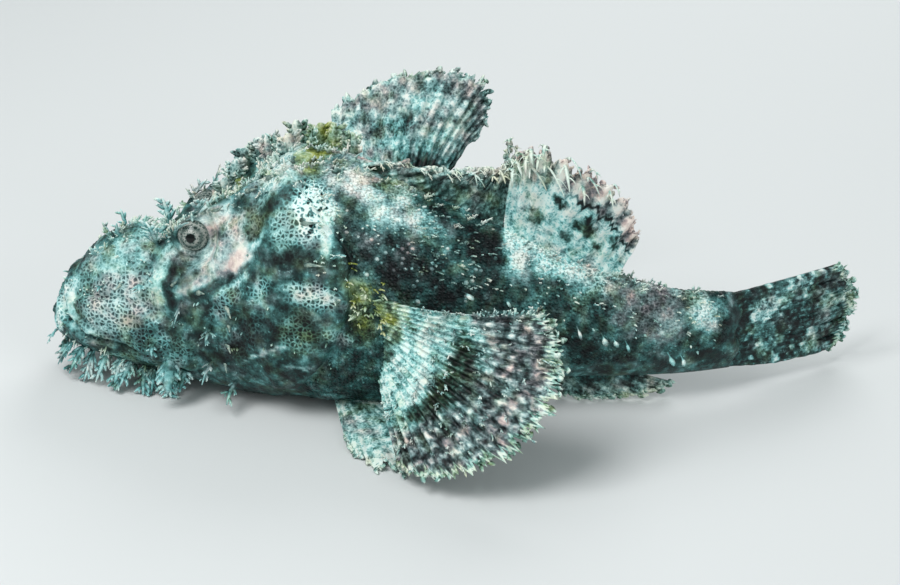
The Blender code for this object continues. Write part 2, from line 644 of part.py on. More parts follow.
TRUNK_TASSELS = (
    (-2, 88.5, 8.5, 6.4, 0.0, 2.0, 0, 0.0, FAR), (6, 87, 7.5, 6.0, 0.0, 2.0, 0, 0.0, FAR),
    (28, 68, 4.5, 2.2, 0.6, 0.2, 0, 0.2, BOTH), (40, 62, 4.5, 2.2, 0.6, 0.1, 0, 0.2, BOTH),
    (53, 57, 5.0, 2.4, 0.5, 0.1, 0, 0.3, BOTH), (67, 52, 4.5, 2.2, 0.5, 0.1, 0, 0.3, BOTH),
    (80, 46, 4.5, 2.2, 0.5, 0.0, 0, 0.3, BOTH),
)
STALK_TASSELS = (
    (93, 40, 5.0, 2.2, 0.5, -0.2, 0, 0.4, BOTH), (102, 36.5, 5.0, 2.2, 0.5, -0.2, 0, 0.4, BOTH),
    (111, 33, 5.0, 2.2, 0.5, -0.2, 0, 0.4, BOTH), (125, 27, 4.5, 2.0, 0.5, -0.2, 0, 0.4, BOTH),
)
LIP_RADIUS = 1.7
LIP_STEPS = 9
UPPER_LIP = ((-97.0, 38), (-94.5, 31.5), (-90.5, 25.6), (-85.5, 22))
LOWER_LIP = ((-100.2, 31), (-98.2, 27.5), (-93.5, 22.5), (-87, 18.2))
NOSTRIL = (-69.0, 56.5)


def spines_on(rows, side, lift=0.0):
    pieces = []
    for x, z, length, radius, back, up in rows:
        foot, out = rooted(x, z, side, lift)
        pieces.append(spine(foot, aim(out, back, up), length, radius))
    return pieces


def tassels_on(rows, side, chance, lift=0.0):
    pieces = []
    for x, z, length, width, back, up, fingers, sag, sides in rows:
        if side not in sides:
            continue
        foot, out = rooted(x, z, side, lift)
        direction = aim(out, back + chance.uniform(-0.1, 0.1), up + chance.uniform(-0.1, 0.1))
        along_body = bend_tail(np.array((x + 1, 0, z))) - bend_tail(np.array((x, 0, z)))
        pieces += tassel(foot, direction, along_body, length, width, fingers, sag, chance)
    return pieces


def lip(name, run):
    """Roll of skin round the front of the mouth, along a run of (x, z) from its middle."""
    centres, outs = [], []
    knots = np.linspace(0, 1, len(run))
    for turn in np.linspace(-1, 1, LIP_STEPS):
        x, z = (float(smooth_curve(tuple(zip(knots, values)), abs(turn))) for values in zip(*run))
        foot, out = rooted(x, z, np.sign(turn))
        centres.append(foot - out * 0.4)
        outs.append(out)
    return roll(name, centres, outs, LIP_RADIUS)


def nostril(side):
    bpy.ops.mesh.primitive_torus_add(major_segments=8, minor_segments=4,
                                     major_radius=1.7 * MM, minor_radius=0.75 * MM)
    ring = bpy.context.object
    foot, out = rooted(*NOSTRIL, side, 0.2)
    turn = Vector(out).to_track_quat("Z", "Y").to_matrix().to_4x4()
    ring.data.transform(Matrix.Translation(Vector(foot) * MM) @ turn)
    return ring


# Finish of each node: base colour, roughness.
SKIN = ((0.20, 0.36, 0.34), 0.55)
HEAD_SKIN = ((0.36, 0.42, 0.42), 0.55)
JAW_SKIN = ((0.30, 0.36, 0.33), 0.55)
FIN_SKIN = ((0.34, 0.45, 0.44), 0.5)
PINK_FIN_SKIN = ((0.52, 0.44, 0.46), 0.5)
EYE_FINISH = ((0.10, 0.14, 0.13), 0.12)


def dress(thing, finish, parts):
    """Gives a node its own material and moves it to the model's collection."""
    colour, roughness = finish
    material = bpy.data.materials.new(thing.name + "_finish")
    material.use_nodes = True
    shader = material.node_tree.nodes["Principled BSDF"]
    shader.inputs["Base Color"].default_value = (*colour, 1)
    shader.inputs["Roughness"].default_value = roughness
    thing.data.materials.clear()
    thing.data.materials.append(material)
    move_to(thing, parts)


def main():
    for old in list(bpy.data.objects):
        bpy.data.objects.remove(old)
    parts = bpy.data.collections.new("smallscale_scorpionfish")
    bpy.context.scene.collection.children.link(parts)

    head = body_segment("head", JAW_TIP_X, HEAD_END_X - GAP / 2)
    trunk = body_segment("trunk", HEAD_END_X + GAP / 2, STALK_START_X - GAP / 2)
    stalk = body_segment("tail_stalk", STALK_START_X + GAP / 2, TAIL_BASE_X)
    clearance = body_segment("clearance", JAW_TIP_X, TAIL_BASE_X, GAP)

    cleft = list(MOUTH_CLEFT)
    under_jaw = [(-108, -4), (-108, 46)]
    jaw = body_segment("lower_jaw", JAW_TIP_X, HEAD_END_X - GAP / 2)
    chance = random.Random(11)
    fuse(jaw, [lip("lower_lip", LOWER_LIP)])
    jaw_room = prism("jaw_room", cleft + [JAW_HINGE] + under_jaw, 60)
    boolean(jaw, "INTERSECT", other=jaw_room)
    fuse(jaw, tassels_on(JAW_TASSELS, -1, chance) + tassels_on(JAW_TASSELS, 1, chance))
    wider = [(x + GAP, z + GAP) for x, z in cleft]
    mouth_room = prism("mouth_room", wider + [(JAW_HINGE[0] + GAP, -4)] + under_jaw, 60)
    growths = [lip("upper_lip", UPPER_LIP)]
    for side in (-1, 1):
        growths += [lid_ring(side), nostril(side)]
        growths += spines_on(HEAD_SPINES, side) + tassels_on(HEAD_TASSELS, side, chance)
        fuse(trunk, tassels_on(TRUNK_TASSELS, side, chance))
        fuse(stalk, tassels_on(STALK_TASSELS, side, chance))
    fuse(head, growths)
    cut_away(head, mouth_room)
    left_fan = (LEFT_PECTORAL_BASE, LEFT_PECTORAL_TIPS, LEFT_KNEE_PUSHES)
    right_fan = (RIGHT_PECTORAL_BASE, RIGHT_PECTORAL_TIPS, RIGHT_KNEE_PUSHES)
    sides = (("left", -1, left_fan, LEFT_PELVIC_TIPS), ("right", 1, right_fan, RIGHT_PELVIC_TIPS))
    for word, side, fan_plan, pelvic_tips in sides:
        hollow = socket(side)
        cut_away(head, hollow)
        bpy.data.objects.remove(hollow)
        dress(eye(word + "_eye", side), EYE_FINISH, parts)
        cover_plan = (side, GILL_COVER_FRONT, GILL_COVER_BACK, GILL_COVER_THICKNESS)
        cover = plate(word + "_gill_cover", *cover_plan)
        growths = spines_on(GILL_COVER_SPINES, side, 2.0)
        growths += tassels_on(GILL_COVER_TASSELS, side, chance, 1.6)
        fuse(cover, growths)
        maxilla = plate(word + "_maxilla", side, MAXILLA_TOP, MAXILLA_BOTTOM, MAXILLA_THICKNESS)
        fuse(maxilla, tassels_on(MAXILLA_TASSELS, side, chance, 1.6))
        pectoral = pectoral_fin(word + "_pectoral_fin", side, *fan_plan)
        pelvic = pelvic_fin(word + "_pelvic_fin", side, pelvic_tips)
        for thing, finish in ((cover, HEAD_SKIN), (maxilla, JAW_SKIN),
                              (pectoral, FIN_SKIN), (pelvic, FIN_SKIN)):
            cut_away(thing, clearance)
            dress(thing, finish, parts)
        cover_room = plate("cover_room", *cover_plan, COVER_CLEARANCE)
        cut_away(pectoral, cover_room)
        bpy.data.objects.remove(cover_room)
    for thing, finish in ((spinous_dorsal_fin(), FIN_SKIN), (soft_dorsal_fin(), PINK_FIN_SKIN),
                          (anal_fin(), FIN_SKIN), (caudal_fin(), PINK_FIN_SKIN)):
        cut_away(thing, clearance)
        dress(thing, finish, parts)
    for thing, finish in ((head, HEAD_SKIN), (jaw, JAW_SKIN), (trunk, SKIN), (stalk, SKIN)):
        dress(thing, finish, parts)
    for cutter in (clearance, jaw_room, mouth_room):
        bpy.data.objects.remove(cutter)


main()
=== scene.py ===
"""Smallscale scorpionfish at life size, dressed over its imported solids.

One skin is sculpted over the whole body, with the lips, lids, cheek plates and gill covers
in it, so that the flesh has no seams. Over it lie rows of small scales, fleshy tassels and
spines. Each fin is a fine sheet with branching rays. The classes hold their sizes in
millimetres, and new_mesh turns them into metres. The snout points to -X, the left side of
the fish faces -Y, and the floor is z = 0.
"""

import logging
import math
from dataclasses import dataclass, field, replace
from enum import Enum
from functools import partial

import bpy
import numpy as np
from mathutils import Matrix, Vector


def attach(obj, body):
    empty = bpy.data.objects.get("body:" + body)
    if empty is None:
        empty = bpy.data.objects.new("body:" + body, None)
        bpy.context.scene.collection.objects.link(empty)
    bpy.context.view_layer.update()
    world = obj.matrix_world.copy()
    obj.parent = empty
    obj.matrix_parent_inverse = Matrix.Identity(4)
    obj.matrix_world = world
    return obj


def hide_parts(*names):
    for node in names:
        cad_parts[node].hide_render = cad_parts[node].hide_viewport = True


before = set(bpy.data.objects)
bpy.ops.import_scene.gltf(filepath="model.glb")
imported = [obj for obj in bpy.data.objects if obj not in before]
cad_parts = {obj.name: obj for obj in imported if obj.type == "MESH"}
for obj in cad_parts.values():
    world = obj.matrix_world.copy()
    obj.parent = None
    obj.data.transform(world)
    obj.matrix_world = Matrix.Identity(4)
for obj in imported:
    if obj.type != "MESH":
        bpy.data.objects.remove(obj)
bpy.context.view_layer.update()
MM = 0.001
LOG = logging.getLogger("scorpionfish")
Knots = tuple[tuple[float, float], ...]
Stops = tuple[tuple[float, str], ...]
Point = tuple[float, float, float]
Look = tuple[float, float, float, float]
LOOKS = ("tone", "pink", "moss", "net")


class Side(Enum):
    """Side of the fish that something is on."""

    LEFT = -1
    RIGHT = 1


def linear(colour: str) -> tuple[float, float, float]:
    """Turns an sRGB hex colour into linear light.

    Args:
        colour: Six hex digits after a hash.

    Returns:
        Linear red, green and blue.
    """
    channels = [int(colour[i:i + 2], 16) / 255 for i in (1, 3, 5)]
    return tuple(c / 12.92 if c <= 0.04045 else ((c + 0.055) / 1.055) ** 2.4 for c in channels)


def ease(value: np.ndarray) -> np.ndarray:
    """Smooth step from 0 to 1 of values clipped to that range."""
    value = np.clip(value, 0, 1)
    return value * value * (3 - 2 * value)


def smooth_curve(knots: Knots, x: np.ndarray) -> np.ndarray:
    """Rounded curve through knots, with no overshoot between them.

    Args:
        knots: Pairs of (x, value), x rising.
        x: Places at which the curve is wanted.

    Returns:
        The curve's values there.
    """
    kx, ky = np.array(knots, float).T
    step = np.diff(kx)
    slope = np.diff(ky) / step
    tangent = np.empty_like(ky)
    tangent[0], tangent[-1] = slope[0], slope[-1]
    same = slope[:-1] * slope[1:] > 0
    mean = 2 * slope[:-1] * slope[1:] / np.where(same, slope[:-1] + slope[1:], 1)
    tangent[1:-1] = np.where(same, mean, 0)
    x = np.clip(x, kx[0], kx[-1])
    i = np.clip(np.searchsorted(kx, x, side="right") - 1, 0, len(kx) - 2)
    t = (x - kx[i]) / step[i]
    return (ky[i] * (2 * t**3 - 3 * t**2 + 1) + ky[i + 1] * (3 * t**2 - 2 * t**3)
            + step[i] * (tangent[i] * (t**3 - 2 * t**2 + t) + tangent[i + 1] * (t**3 - t**2)))


def interpolate(points: tuple, count: int) -> np.ndarray:
    """Points along a rounded run through a few named ones.

    Args:
        points: The named points.
        count: How many are wanted.

    Returns:
        An array of that many points.
    """
    named = np.array(points, float)
    knots = np.linspace(0, 1, len(named))
    t = np.linspace(0, 1, count)
    return np.stack([smooth_curve(tuple(zip(knots, named[:, k])), t) for k in range(3)], -1)


def unit(vectors: np.ndarray) -> np.ndarray:
    """Vectors brought to length one."""
    return vectors / np.maximum(np.linalg.norm(vectors, axis=-1, keepdims=True), 1e-9)


class Noise:
    """Noise on a lattice of seeded random numbers, the same on every run."""

    def __init__(self, seed: int) -> None:
        """Shuffles the tables that the lattice is read from.

        Args:
            seed: Which noise this is.
        """
        chance = np.random.default_rng(seed)
        self.order = chance.permutation(256)
        self.value = chance.random((256, 3))

    def hashed(self, cell: np.ndarray) -> np.ndarray:
        """Finds the table row of each lattice cell.

        Args:
            cell: Whole numbers of the cells along the three axes.

        Returns:
            Row numbers from 0 to 255.
        """
        order = self.order
        first = order[cell[..., 0] & 255]
        second = order[(first + cell[..., 1]) & 255]
        return order[(second + cell[..., 2]) & 255]

    def smooth(self, points: np.ndarray, size: float) -> np.ndarray:
        """Soft noise with bumps of one size.

        Args:
            points: Places, in millimetres.
            size: Width of a bump, in millimetres.

        Returns:
            Values from -1 to 1.
        """
        place = points / size
        cell = np.floor(place).astype(int)
        part = ease(place - cell)
        total = np.zeros(points.shape[:-1])
        for corner in np.ndindex(2, 2, 2):
            weight = np.prod(np.where(corner, part, 1 - part), axis=-1)
            total += weight * self.value[self.hashed(cell + corner), 0]
        return total * 2 - 1

    def layered(self, points: np.ndarray, size: float, octaves: int) -> np.ndarray:
        """Soft noise with finer and fainter bumps added to it."""
        return sum(self.smooth(points + 17.3 * k, size / 2**k) / 2**k for k in range(octaves)) / 1.6

    def cells(self, points: np.ndarray, size: float) -> tuple[np.ndarray, np.ndarray]:
        """Cell pattern round scattered seeds.

        Args:
            points: Places, in millimetres.
            size: Mean width of a cell, in millimetres.

        Returns:
            Distance to the nearest seed, and how much further the second is, in cells.
        """
        place = points / size
        cell = np.floor(place).astype(int)
        first = np.full(points.shape[:-1], 9.0)
        second = first.copy()
        for step in np.ndindex(3, 3, 3):
            near = cell + step - 1
            seed = near + self.value[self.hashed(near)]
            distance = np.linalg.norm(seed - place, axis=-1)
            second = np.minimum(second, np.maximum(first, distance))
            first = np.minimum(first, distance)
        return first, second - first


def new_mesh(name: str, points: np.ndarray, faces: np.ndarray, uv: np.ndarray,
             layers: dict[str, np.ndarray]) -> bpy.types.Object:
    """Makes a piece from arrays.

    Args:
        name: The piece's name.
        points: Its vertices, in millimetres.
        faces: Rows of three or four vertex numbers.
        uv: One pair for each corner of each face.
        layers: A number for each vertex, by name.

    Returns:
        The new object, linked to the scene.
    """
    mesh = bpy.data.meshes.new(name)
    count, sides = faces.shape
    mesh.vertices.add(len(points))
    mesh.vertices.foreach_set("co", (points * MM).astype(np.float32).ravel())
    mesh.loops.add(count * sides)
    mesh.loops.foreach_set("vertex_index", faces.astype(np.int32).ravel())
    mesh.polygons.add(count)
    mesh.polygons.foreach_set("loop_start", np.arange(0, count * sides, sides, dtype=np.int32))
    mesh.update(calc_edges=True)
    mesh.polygons.foreach_set("use_smooth", np.ones(count, bool))
    layer = mesh.uv_layers.new(name="OFBake")
    layer.data.foreach_set("uv", np.clip(uv, 0, 1).astype(np.float32).ravel())
    for title, values in layers.items():
        store = mesh.attributes.new(title, "FLOAT", "POINT")
        store.data.foreach_set("value", values.astype(np.float32))
    mesh.validate()
    piece = bpy.data.objects.new(name, mesh)
    bpy.context.scene.collection.objects.link(piece)
    return piece


@dataclass(frozen=True)
class Loft:
    """The body's loft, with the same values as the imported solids."""

    jaw_tip: float = -104.0
    tail_base: float = 147.5
    bend_start: float = 88.0
    bend_radius: float = 139.0
    top: Knots = (
        (-104, 24.5), (-101, 29.5), (-98, 35.5), (-94.5, 42), (-84, 52), (-72, 57.5), (-62, 59),
        (-45, 68.5), (-22, 85), (-8, 91.5), (6, 90.5), (24, 84.5), (42, 77.5), (70, 65.5), (100, 53),
        (130, 43.5), (147.5, 41),
    )
    bottom: Knots = (
        (-104, 21.5), (-102.5, 16.5), (-98, 12), (-90, 9), (-72, 4.5), (-45, 1), (-25, -1.2), (30, -1.2),
        (46, 2), (70, 8), (95, 10.5), (147.5, 9.5),
    )
    half_width: Knots = (
        (-104, 4.0), (-101.5, 9.5), (-97, 13.5), (-88, 17.5), (-72, 21), (-55, 24), (-35, 29), (-12, 33),
        (8, 33.5), (30, 31), (60, 22.5), (90, 15), (120, 9), (147.5, 5.5),
    )
    widest: Knots = ((-104, 0.5), (-60, 0.4), (0, 0.42), (60, 0.48), (147.5, 0.5))
    upper_round: Knots = ((-104, 2.0), (-70, 2.3), (-40, 2.2), (-8, 2.35), (25, 1.85), (147.5, 1.9))
    lower_round: Knots = ((-104, 2.0), (-60, 2.3), (0, 2.6), (45, 2.3), (147.5, 2.0))

    def section(self, x: np.ndarray, angle: np.ndarray) -> np.ndarray:
        """Points of the straight, plain loft.

        Args:
            x: Station of each point.
            angle: Its angle from the back line, negative on the left side.

        Returns:
            The points.
        """
        x, angle = np.broadcast_arrays(np.asarray(x, float), np.asarray(angle, float))
        top, bottom = smooth_curve(self.top, x), smooth_curve(self.bottom, x)
        middle = bottom + (top - bottom) * smooth_curve(self.widest, x)
        cosine, sine = np.cos(angle), np.sin(angle)
        upper = cosine > 0
        power = 2 / np.where(upper, smooth_curve(self.upper_round, x), smooth_curve(self.lower_round, x))
        height = np.where(upper, top - middle, middle - bottom)
        y = smooth_curve(self.half_width, x) * np.sign(sine) * np.abs(sine) ** power
        z = middle + height * np.sign(cosine) * np.abs(cosine) ** power
        return np.stack([x, y, z], axis=-1)

    def bend(self, points: np.ndarray) -> np.ndarray:
        """Curves everything behind the bend's start towards the right side, as the tail lies.

        Args:
            points: Points of the straight fish.

        Returns:
            The same points on the curved one.
        """
        points = np.array(points, float)
        past = np.maximum(points[..., 0] - self.bend_start, 0)
        angle = past / self.bend_radius
        reach = self.bend_radius - points[..., 1]
        bent = points.copy()
        bent[..., 0] = np.where(past > 0, self.bend_start + reach * np.sin(angle), points[..., 0])
        bent[..., 1] = np.where(past > 0, self.bend_radius - reach * np.cos(angle), points[..., 1])
        return bent


LOFT = Loft()


@dataclass(frozen=True)
class Socket:
    """Place, size and tilt of the eyes, the same on both sides."""

    centre: Point = (-46.0, 11.0, 63.0)
    radius: float = 6.4
    tilt: float = math.radians(80)


@dataclass(frozen=True)
class Mark:
    """A soft patch on the skin, at a station and a way down from the back line.

    On a fin x is the number of a ray and down a share of the way out to its margin. tone
    runs from dark to pale, pink and moss are shares of those two families of colour, and
    net is 1 for a pale net over dark spots and -1 for pale dots on a dark ground.
    """

    x: float
    down: float
    long: float
    deep: float
    tone: float
    pink: float = 0.0
    moss: float = 0.0
    net: float = 0.0
    strength: float = 1.0
    sides: tuple[int, ...] = (-1, 1)


@dataclass
class BodySkin:
    """The one skin over head, jaw, cheek plates, gill covers, trunk and tail stalk."""

    head_rows: int = 240
    body_rows: int = 230
    columns: int = 204
    lump: float = 9.0
    honeycomb: float = 2.3
    pit: float = 1.9
    lid_radius: float = 6.9
    lid_height: float = 3.5
    socket: Socket = Socket()
    relief: tuple[tuple[Point, Point, float, float], ...] = (
        ((-84, 0, 52), (-72, 0, 58), 9.0, 1.5), ((-63.5, 0, 59), (-63.5, 17, 48), 3.4, -2.4),
        ((-53, 9, 65), (-38, 10, 71), 4.2, 3.6), ((-52, 0, 66), (-38, 0, 72), 5.0, -3.0),
        ((-30, 0, 80), (-27, 0, 82), 6.0, -3.2), ((-35, 9, 76), (-12, 12, 89), 3.2, 2.4),
        ((-60, 22, 47), (-27, 30, 47), 3.6, 2.8), ((-24, 31, 58), (-20, 33, 30), 3.0, 1.6),
    )
    cover_front: Knots = ((30, -20), (58, -24), (90, -23), (120, -18))
    cover_back: Knots = ((26, -6), (43, 4), (60, 14), (76, 14), (96, 7), (124, -6))
    maxilla_top: Knots = ((-93, 62), (-80, 70), (-66, 74), (-44, 84))
    maxilla_bottom: Knots = ((-91, 82), (-78, 96), (-64, 108), (-44, 122))
    mouth: Knots = ((-99.5, 46), (-98, 36), (-95, 27.5), (-88, 21), (-68, 17.5), (-50, 11))
    stations: np.ndarray = field(init=False)
    angles: np.ndarray = field(init=False)
    arcs: np.ndarray = field(init=False)
    plain: np.ndarray = field(init=False)
    points: np.ndarray = field(init=False)
    normals: np.ndarray = field(init=False)
    looks: dict[str, np.ndarray] = field(init=False)

    def lay_out(self) -> None:
        """Chooses the stations, and the angles that space the columns evenly round each."""
        head = np.linspace(0, 1, self.head_rows) ** 1.2
        head_end = 16.0
        body = np.linspace(head_end, LOFT.tail_base, self.body_rows + 1)[1:]
        self.stations = np.concatenate([LOFT.jaw_tip + (head_end - LOFT.jaw_tip) * head, body])
        fine = np.linspace(0, math.pi, 400)
        half = self.columns // 2
        rings, arcs = [], []
        for x in self.stations:
            ring = LOFT.section(x, fine)
            step = np.linalg.norm(np.diff(ring, axis=0), axis=-1)
            crowd = np.where(fine[1:] < math.radians(128), 1.0, 0.55)
            walked = np.concatenate([[0], np.cumsum(step)])
            weighed = np.concatenate([[0], np.cumsum(step * crowd)])
            share = np.linspace(0, weighed[-1], half + 1)
            angle = np.interp(share, weighed, fine)
            arc = np.interp(share, weighed, walked)
            rings.append(np.concatenate([angle, -angle[-2:0:-1]]))
            arcs.append(np.concatenate([arc, -arc[-2:0:-1]]))
        self.angles, self.arcs = np.array(rings), np.array(arcs)

    def grid_normals(self, grid: np.ndarray) -> np.ndarray:
        """Finds the directions straight out of a closed grid of rings.

        Args:
            grid: Its points by row and column.

        Returns:
            A direction of length one for each point.
        """
        along = np.gradient(grid, axis=0)
        around = np.roll(grid, -1, axis=1) - np.roll(grid, 1, axis=1)
        return unit(np.cross(along, around))

    def cover_height(self, x: np.ndarray, degrees: np.ndarray) -> np.ndarray:
        """Shapes the gill cover, which ends in a free edge with a groove behind it.

        Args:
            x: Station of each point.
            degrees: Its angle from the back line.

        Returns:
            Its height over the plain skin.
        """
        front, back = smooth_curve(self.cover_front, degrees), smooth_curve(self.cover_back, degrees)
        share = (x - front) / (back - front)
        window = ease((degrees - 22) / 9) * ease((130 - degrees) / 9)
        plate = 2.3 * ease(share / 0.3) * ease((back - x) / 0.9) * (1 - 0.25 * (2 * share - 1) ** 2)
        groove = -1.3 * np.exp(-((x - back - 1.0) / 1.5) ** 2)
        return window * (plate + groove)

    def maxilla_height(self, x: np.ndarray, degrees: np.ndarray) -> np.ndarray:
        """Shapes the plate of the upper jaw, with a groove under and over it.

        Args:
            x: Station of each point.
            degrees: Its angle from the back line.

        Returns:
            Its height over the plain skin.
        """
        top, bottom = smooth_curve(self.maxilla_top, x), smooth_curve(self.maxilla_bottom, x)
        share = (degrees - top) / (bottom - top)
        window = ease((x + 94) / 7) * ease((-44 - x) / 3)
        plate = 2.2 * ease(share / 0.14) * ease((1 - share) / 0.1) * (0.8 + 0.2 * np.sin(share * math.pi))
        groove = -0.9 * np.exp(-((share + 0.06) / 0.07) ** 2) - 1.0 * np.exp(-((share - 1.07) / 0.06) ** 2)
        return window * (plate + groove)

    def mouth_height(self, points: np.ndarray) -> np.ndarray:
        """Shapes the mouth's cleft and the lips beside it.

        Args:
            points: Points of the plain skin.

        Returns:
            Their height over it.
        """
        flat = points[..., (0, 2)]
        nearest = np.full(flat.shape[:-1], 99.0)
        for start, end in zip(self.mouth[:-1], self.mouth[1:]):
            start, end = np.array(start, float), np.array(end, float)
            run = end - start
            t = np.clip((flat - start) @ run / (run @ run), 0, 1)
            nearest = np.minimum(nearest, np.linalg.norm(flat - start - t[..., None] * run, axis=-1))
        cleft = -3.0 * np.exp(-(nearest / 1.0) ** 2) * ease((-49 - points[..., 0]) / 6)
        lips = 1.5 * np.exp(-((nearest - 2.5) / 1.4) ** 2) * ease((-80 - points[..., 0]) / 8)
        return cleft + lips

    def relief_height(self, points: np.ndarray) -> np.ndarray:
        """Shapes the soft ridges and hollows of the skull.

        Args:
            points: Points of the plain skin.

        Returns:
            Their height over it.
        """
        mirrored = points * (1, 0, 1) + np.abs(points) * (0, 1, 0)
        height = np.zeros(points.shape[:-1])
        for start, end, radius, rise in self.relief:
            start, end = np.array(start, float), np.array(end, float)
            run = end - start
            t = np.clip((mirrored - start) @ run / (run @ run), 0, 1)
            distance = np.linalg.norm(mirrored - start - t[..., None] * run, axis=-1)
            height += rise * np.exp(-(distance / radius) ** 2)
        return height

    def wrap_lids(self, points: np.ndarray) -> np.ndarray:
        """Draws the skin in under each eye and up into a lid round it.

        Args:
            points: Points of the skin.

        Returns:
            The points with the lids.
        """
        points = points.copy()
        for side in Side:
            centre = np.array(self.socket.centre) * (1, side.value, 1)
            axis = np.array((0, side.value * math.sin(self.socket.tilt), math.cos(self.socket.tilt)))
            offset = points - centre
            depth = offset @ axis
            away = np.linalg.norm(offset - depth[..., None] * axis, axis=-1)
            ball = np.sqrt(np.maximum(self.socket.radius**2 - away**2, 0))
            lid = self.lid_height * np.exp(-((away - self.lid_radius) / 1.9) ** 2) + 0.6
            wanted = np.where(away < 5.5, ball - 1.6, lid)
            near = ease((away - 5.3) / 0.5)
            wanted = np.where((away > 5.3) & (away < 5.8), (ball - 1.6) * (1 - near) + lid * near, wanted)
            weight = (1 - ease((away - 7.6) / 3.6)) * ease((depth + 8) / 4)
            points += (weight * (wanted - depth))[..., None] * axis
        return points

    def sculpt(self) -> None:
        """Shapes the whole skin and bends its tail."""
        x = self.stations[:, None] + 0 * self.angles
        plain = LOFT.section(x, self.angles)
        degrees = np.degrees(np.abs(self.angles))
        noise = Noise(5)
        head = ease((4 - x) / 24)
        rough = 0.55 + 0.75 * head
        height = self.relief_height(plain) + self.cover_height(x, degrees) + self.maxilla_height(x, degrees)
        height += self.mouth_height(plain)
        height += rough * 0.75 * noise.layered(plain, self.lump, 4)
        _, edge = noise.cells(plain + noise.smooth(plain, 3.0)[..., None] * 0.7, self.honeycomb)
        height += head * (0.30 * ease(edge / 0.25) - 0.25)
        dimple, _ = noise.cells(plain, self.pit)
        height += (1 - head) * 0.22 * (0.8 - dimple)
        belly = ease((degrees - 150) / 20)
        points = plain + self.grid_normals(plain) * (height * (1 - 0.8 * belly))[..., None]
        points = self.wrap_lids(points)
        points[..., 2] = np.maximum(points[..., 2], 0)
        self.points = LOFT.bend(points)
        self.plain = plain

    def close_ends(self, grid: np.ndarray) -> np.ndarray:
        """Adds rings that round off the muzzle and taper the stalk into the tail fin.

        Args:
            grid: Points of the skin by row and column.

        Returns:
            The grid with its end rings.
        """
        front, back = [], []
        centre = grid[0].mean(0)
        for t in np.linspace(1, 0, 6)[:-1]:
            ring = centre + (grid[0] - centre) * math.sqrt(1 - t * t) * 0.999
            front.append(ring - (1.4 * t, 0, 0))
        centre = grid[-1].mean(0)
        along = unit(grid[-1].mean(0) - grid[-2].mean(0))
        across = np.cross(along, (0, 0, 1))
        for t in np.linspace(0, 1, 9)[1:]:
            offset = grid[-1] - centre
            sideways = (offset @ across)[:, None] * across
            narrowed = sideways * math.sqrt(1 - t**1.5 * 0.97)
            ring = centre + (offset - sideways) * (1 - 0.12 * t * t) + narrowed
            lobes = 0.75 + 0.25 * np.cos(6 * self.angles[-1])[:, None]
            back.append(ring + along * 5.0 * t * lobes)
        return np.concatenate([np.array(front), grid, np.array(back)])

    def paint(self, marks: tuple[Mark, ...]) -> None:
        """Works out the looks of the skin from named patches.

        Args:
            marks: The patches, later ones over earlier.
        """
        noise = Noise(9)
        shift = np.stack([noise.layered(self.plain + 40 * k, 5.0, 3) for k in range(2)], -1) * 2.2
        x = self.stations[:, None] + shift[..., 0]
        arc = self.arcs + shift[..., 1]
        self.looks = {name: np.full(x.shape, 0.3 if name == "tone" else 0.0) for name in LOOKS}
        for mark in marks:
            for side in mark.sides:
                spread = ((x - mark.x) / mark.long) ** 2 + ((arc * side - mark.down) / mark.deep) ** 2
                weight = mark.strength * ease(1.35 * np.exp(-spread * 0.8) - 0.18)
                for name, values in self.looks.items():
                    values += (getattr(mark, name) - values) * weight
        belly = ease((np.degrees(np.abs(self.angles)) - 128) / 25)
        self.looks["net"] *= 1 - belly
        self.looks["tone"] += (0.3 - self.looks["tone"]) * belly

    def cell_of(self, x: float, arc: float) -> tuple[float, float]:
        """Finds a place on the grid.

        Args:
            x: Its station.
            arc: Its way round from the back line, negative on the left side.

        Returns:
            Its row and column, with fractions.
        """
        row = float(np.interp(x, self.stations, np.arange(len(self.stations))))
        low = min(int(row), len(self.stations) - 2)
        half = self.columns // 2
        arcs = self.arcs[low, :half + 1] * (1 - row + low) + self.arcs[low + 1, :half + 1] * (row - low)
        arcs[-1] = abs(arcs[-1])
        column = float(np.interp(abs(arc), arcs, np.arange(half + 1)))
        return row, column if arc >= 0 else self.columns - column

    def sample(self, grid: np.ndarray, row: np.ndarray, column: np.ndarray) -> np.ndarray:
        """Values of a grid between its points.

        Args:
            grid: Values by row and column.
            row: Rows, with fractions.
            column: Columns, with fractions.

        Returns:
            The values there.
        """
        row, column = np.asarray(row, float), np.asarray(column, float)
        r = np.clip(row.astype(int), 0, grid.shape[0] - 2)
        c = np.floor(column).astype(int)
        a, b = row - r, column - c
        c0, c1 = c % self.columns, (c + 1) % self.columns
        if grid.ndim == 3:
            a, b = a[..., None], b[..., None]
        return ((grid[r, c0] * (1 - b) + grid[r, c1] * b) * (1 - a)
                + (grid[r + 1, c0] * (1 - b) + grid[r + 1, c1] * b) * a)

    def arc_at_level(self, x: float, z: float, side: int) -> float:
        """Finds the way round from the back line at which the skin has a height.

        Args:
            x: The station.
            z: The height.
            side: -1 for the left side and 1 for the right.

        Returns:
            The way round, negative on the left side.
        """
        row = int(np.clip(np.searchsorted(self.stations, x), 0, len(self.stations) - 1))
        half = self.columns // 2
        levels = self.plain[row, :half, 2]
        above_belly = np.arange(half) < half - 12
        column = int(np.argmin(np.abs(levels - z) + np.where(above_belly, 0, 99)))
        return side * abs(self.arcs[row, column])

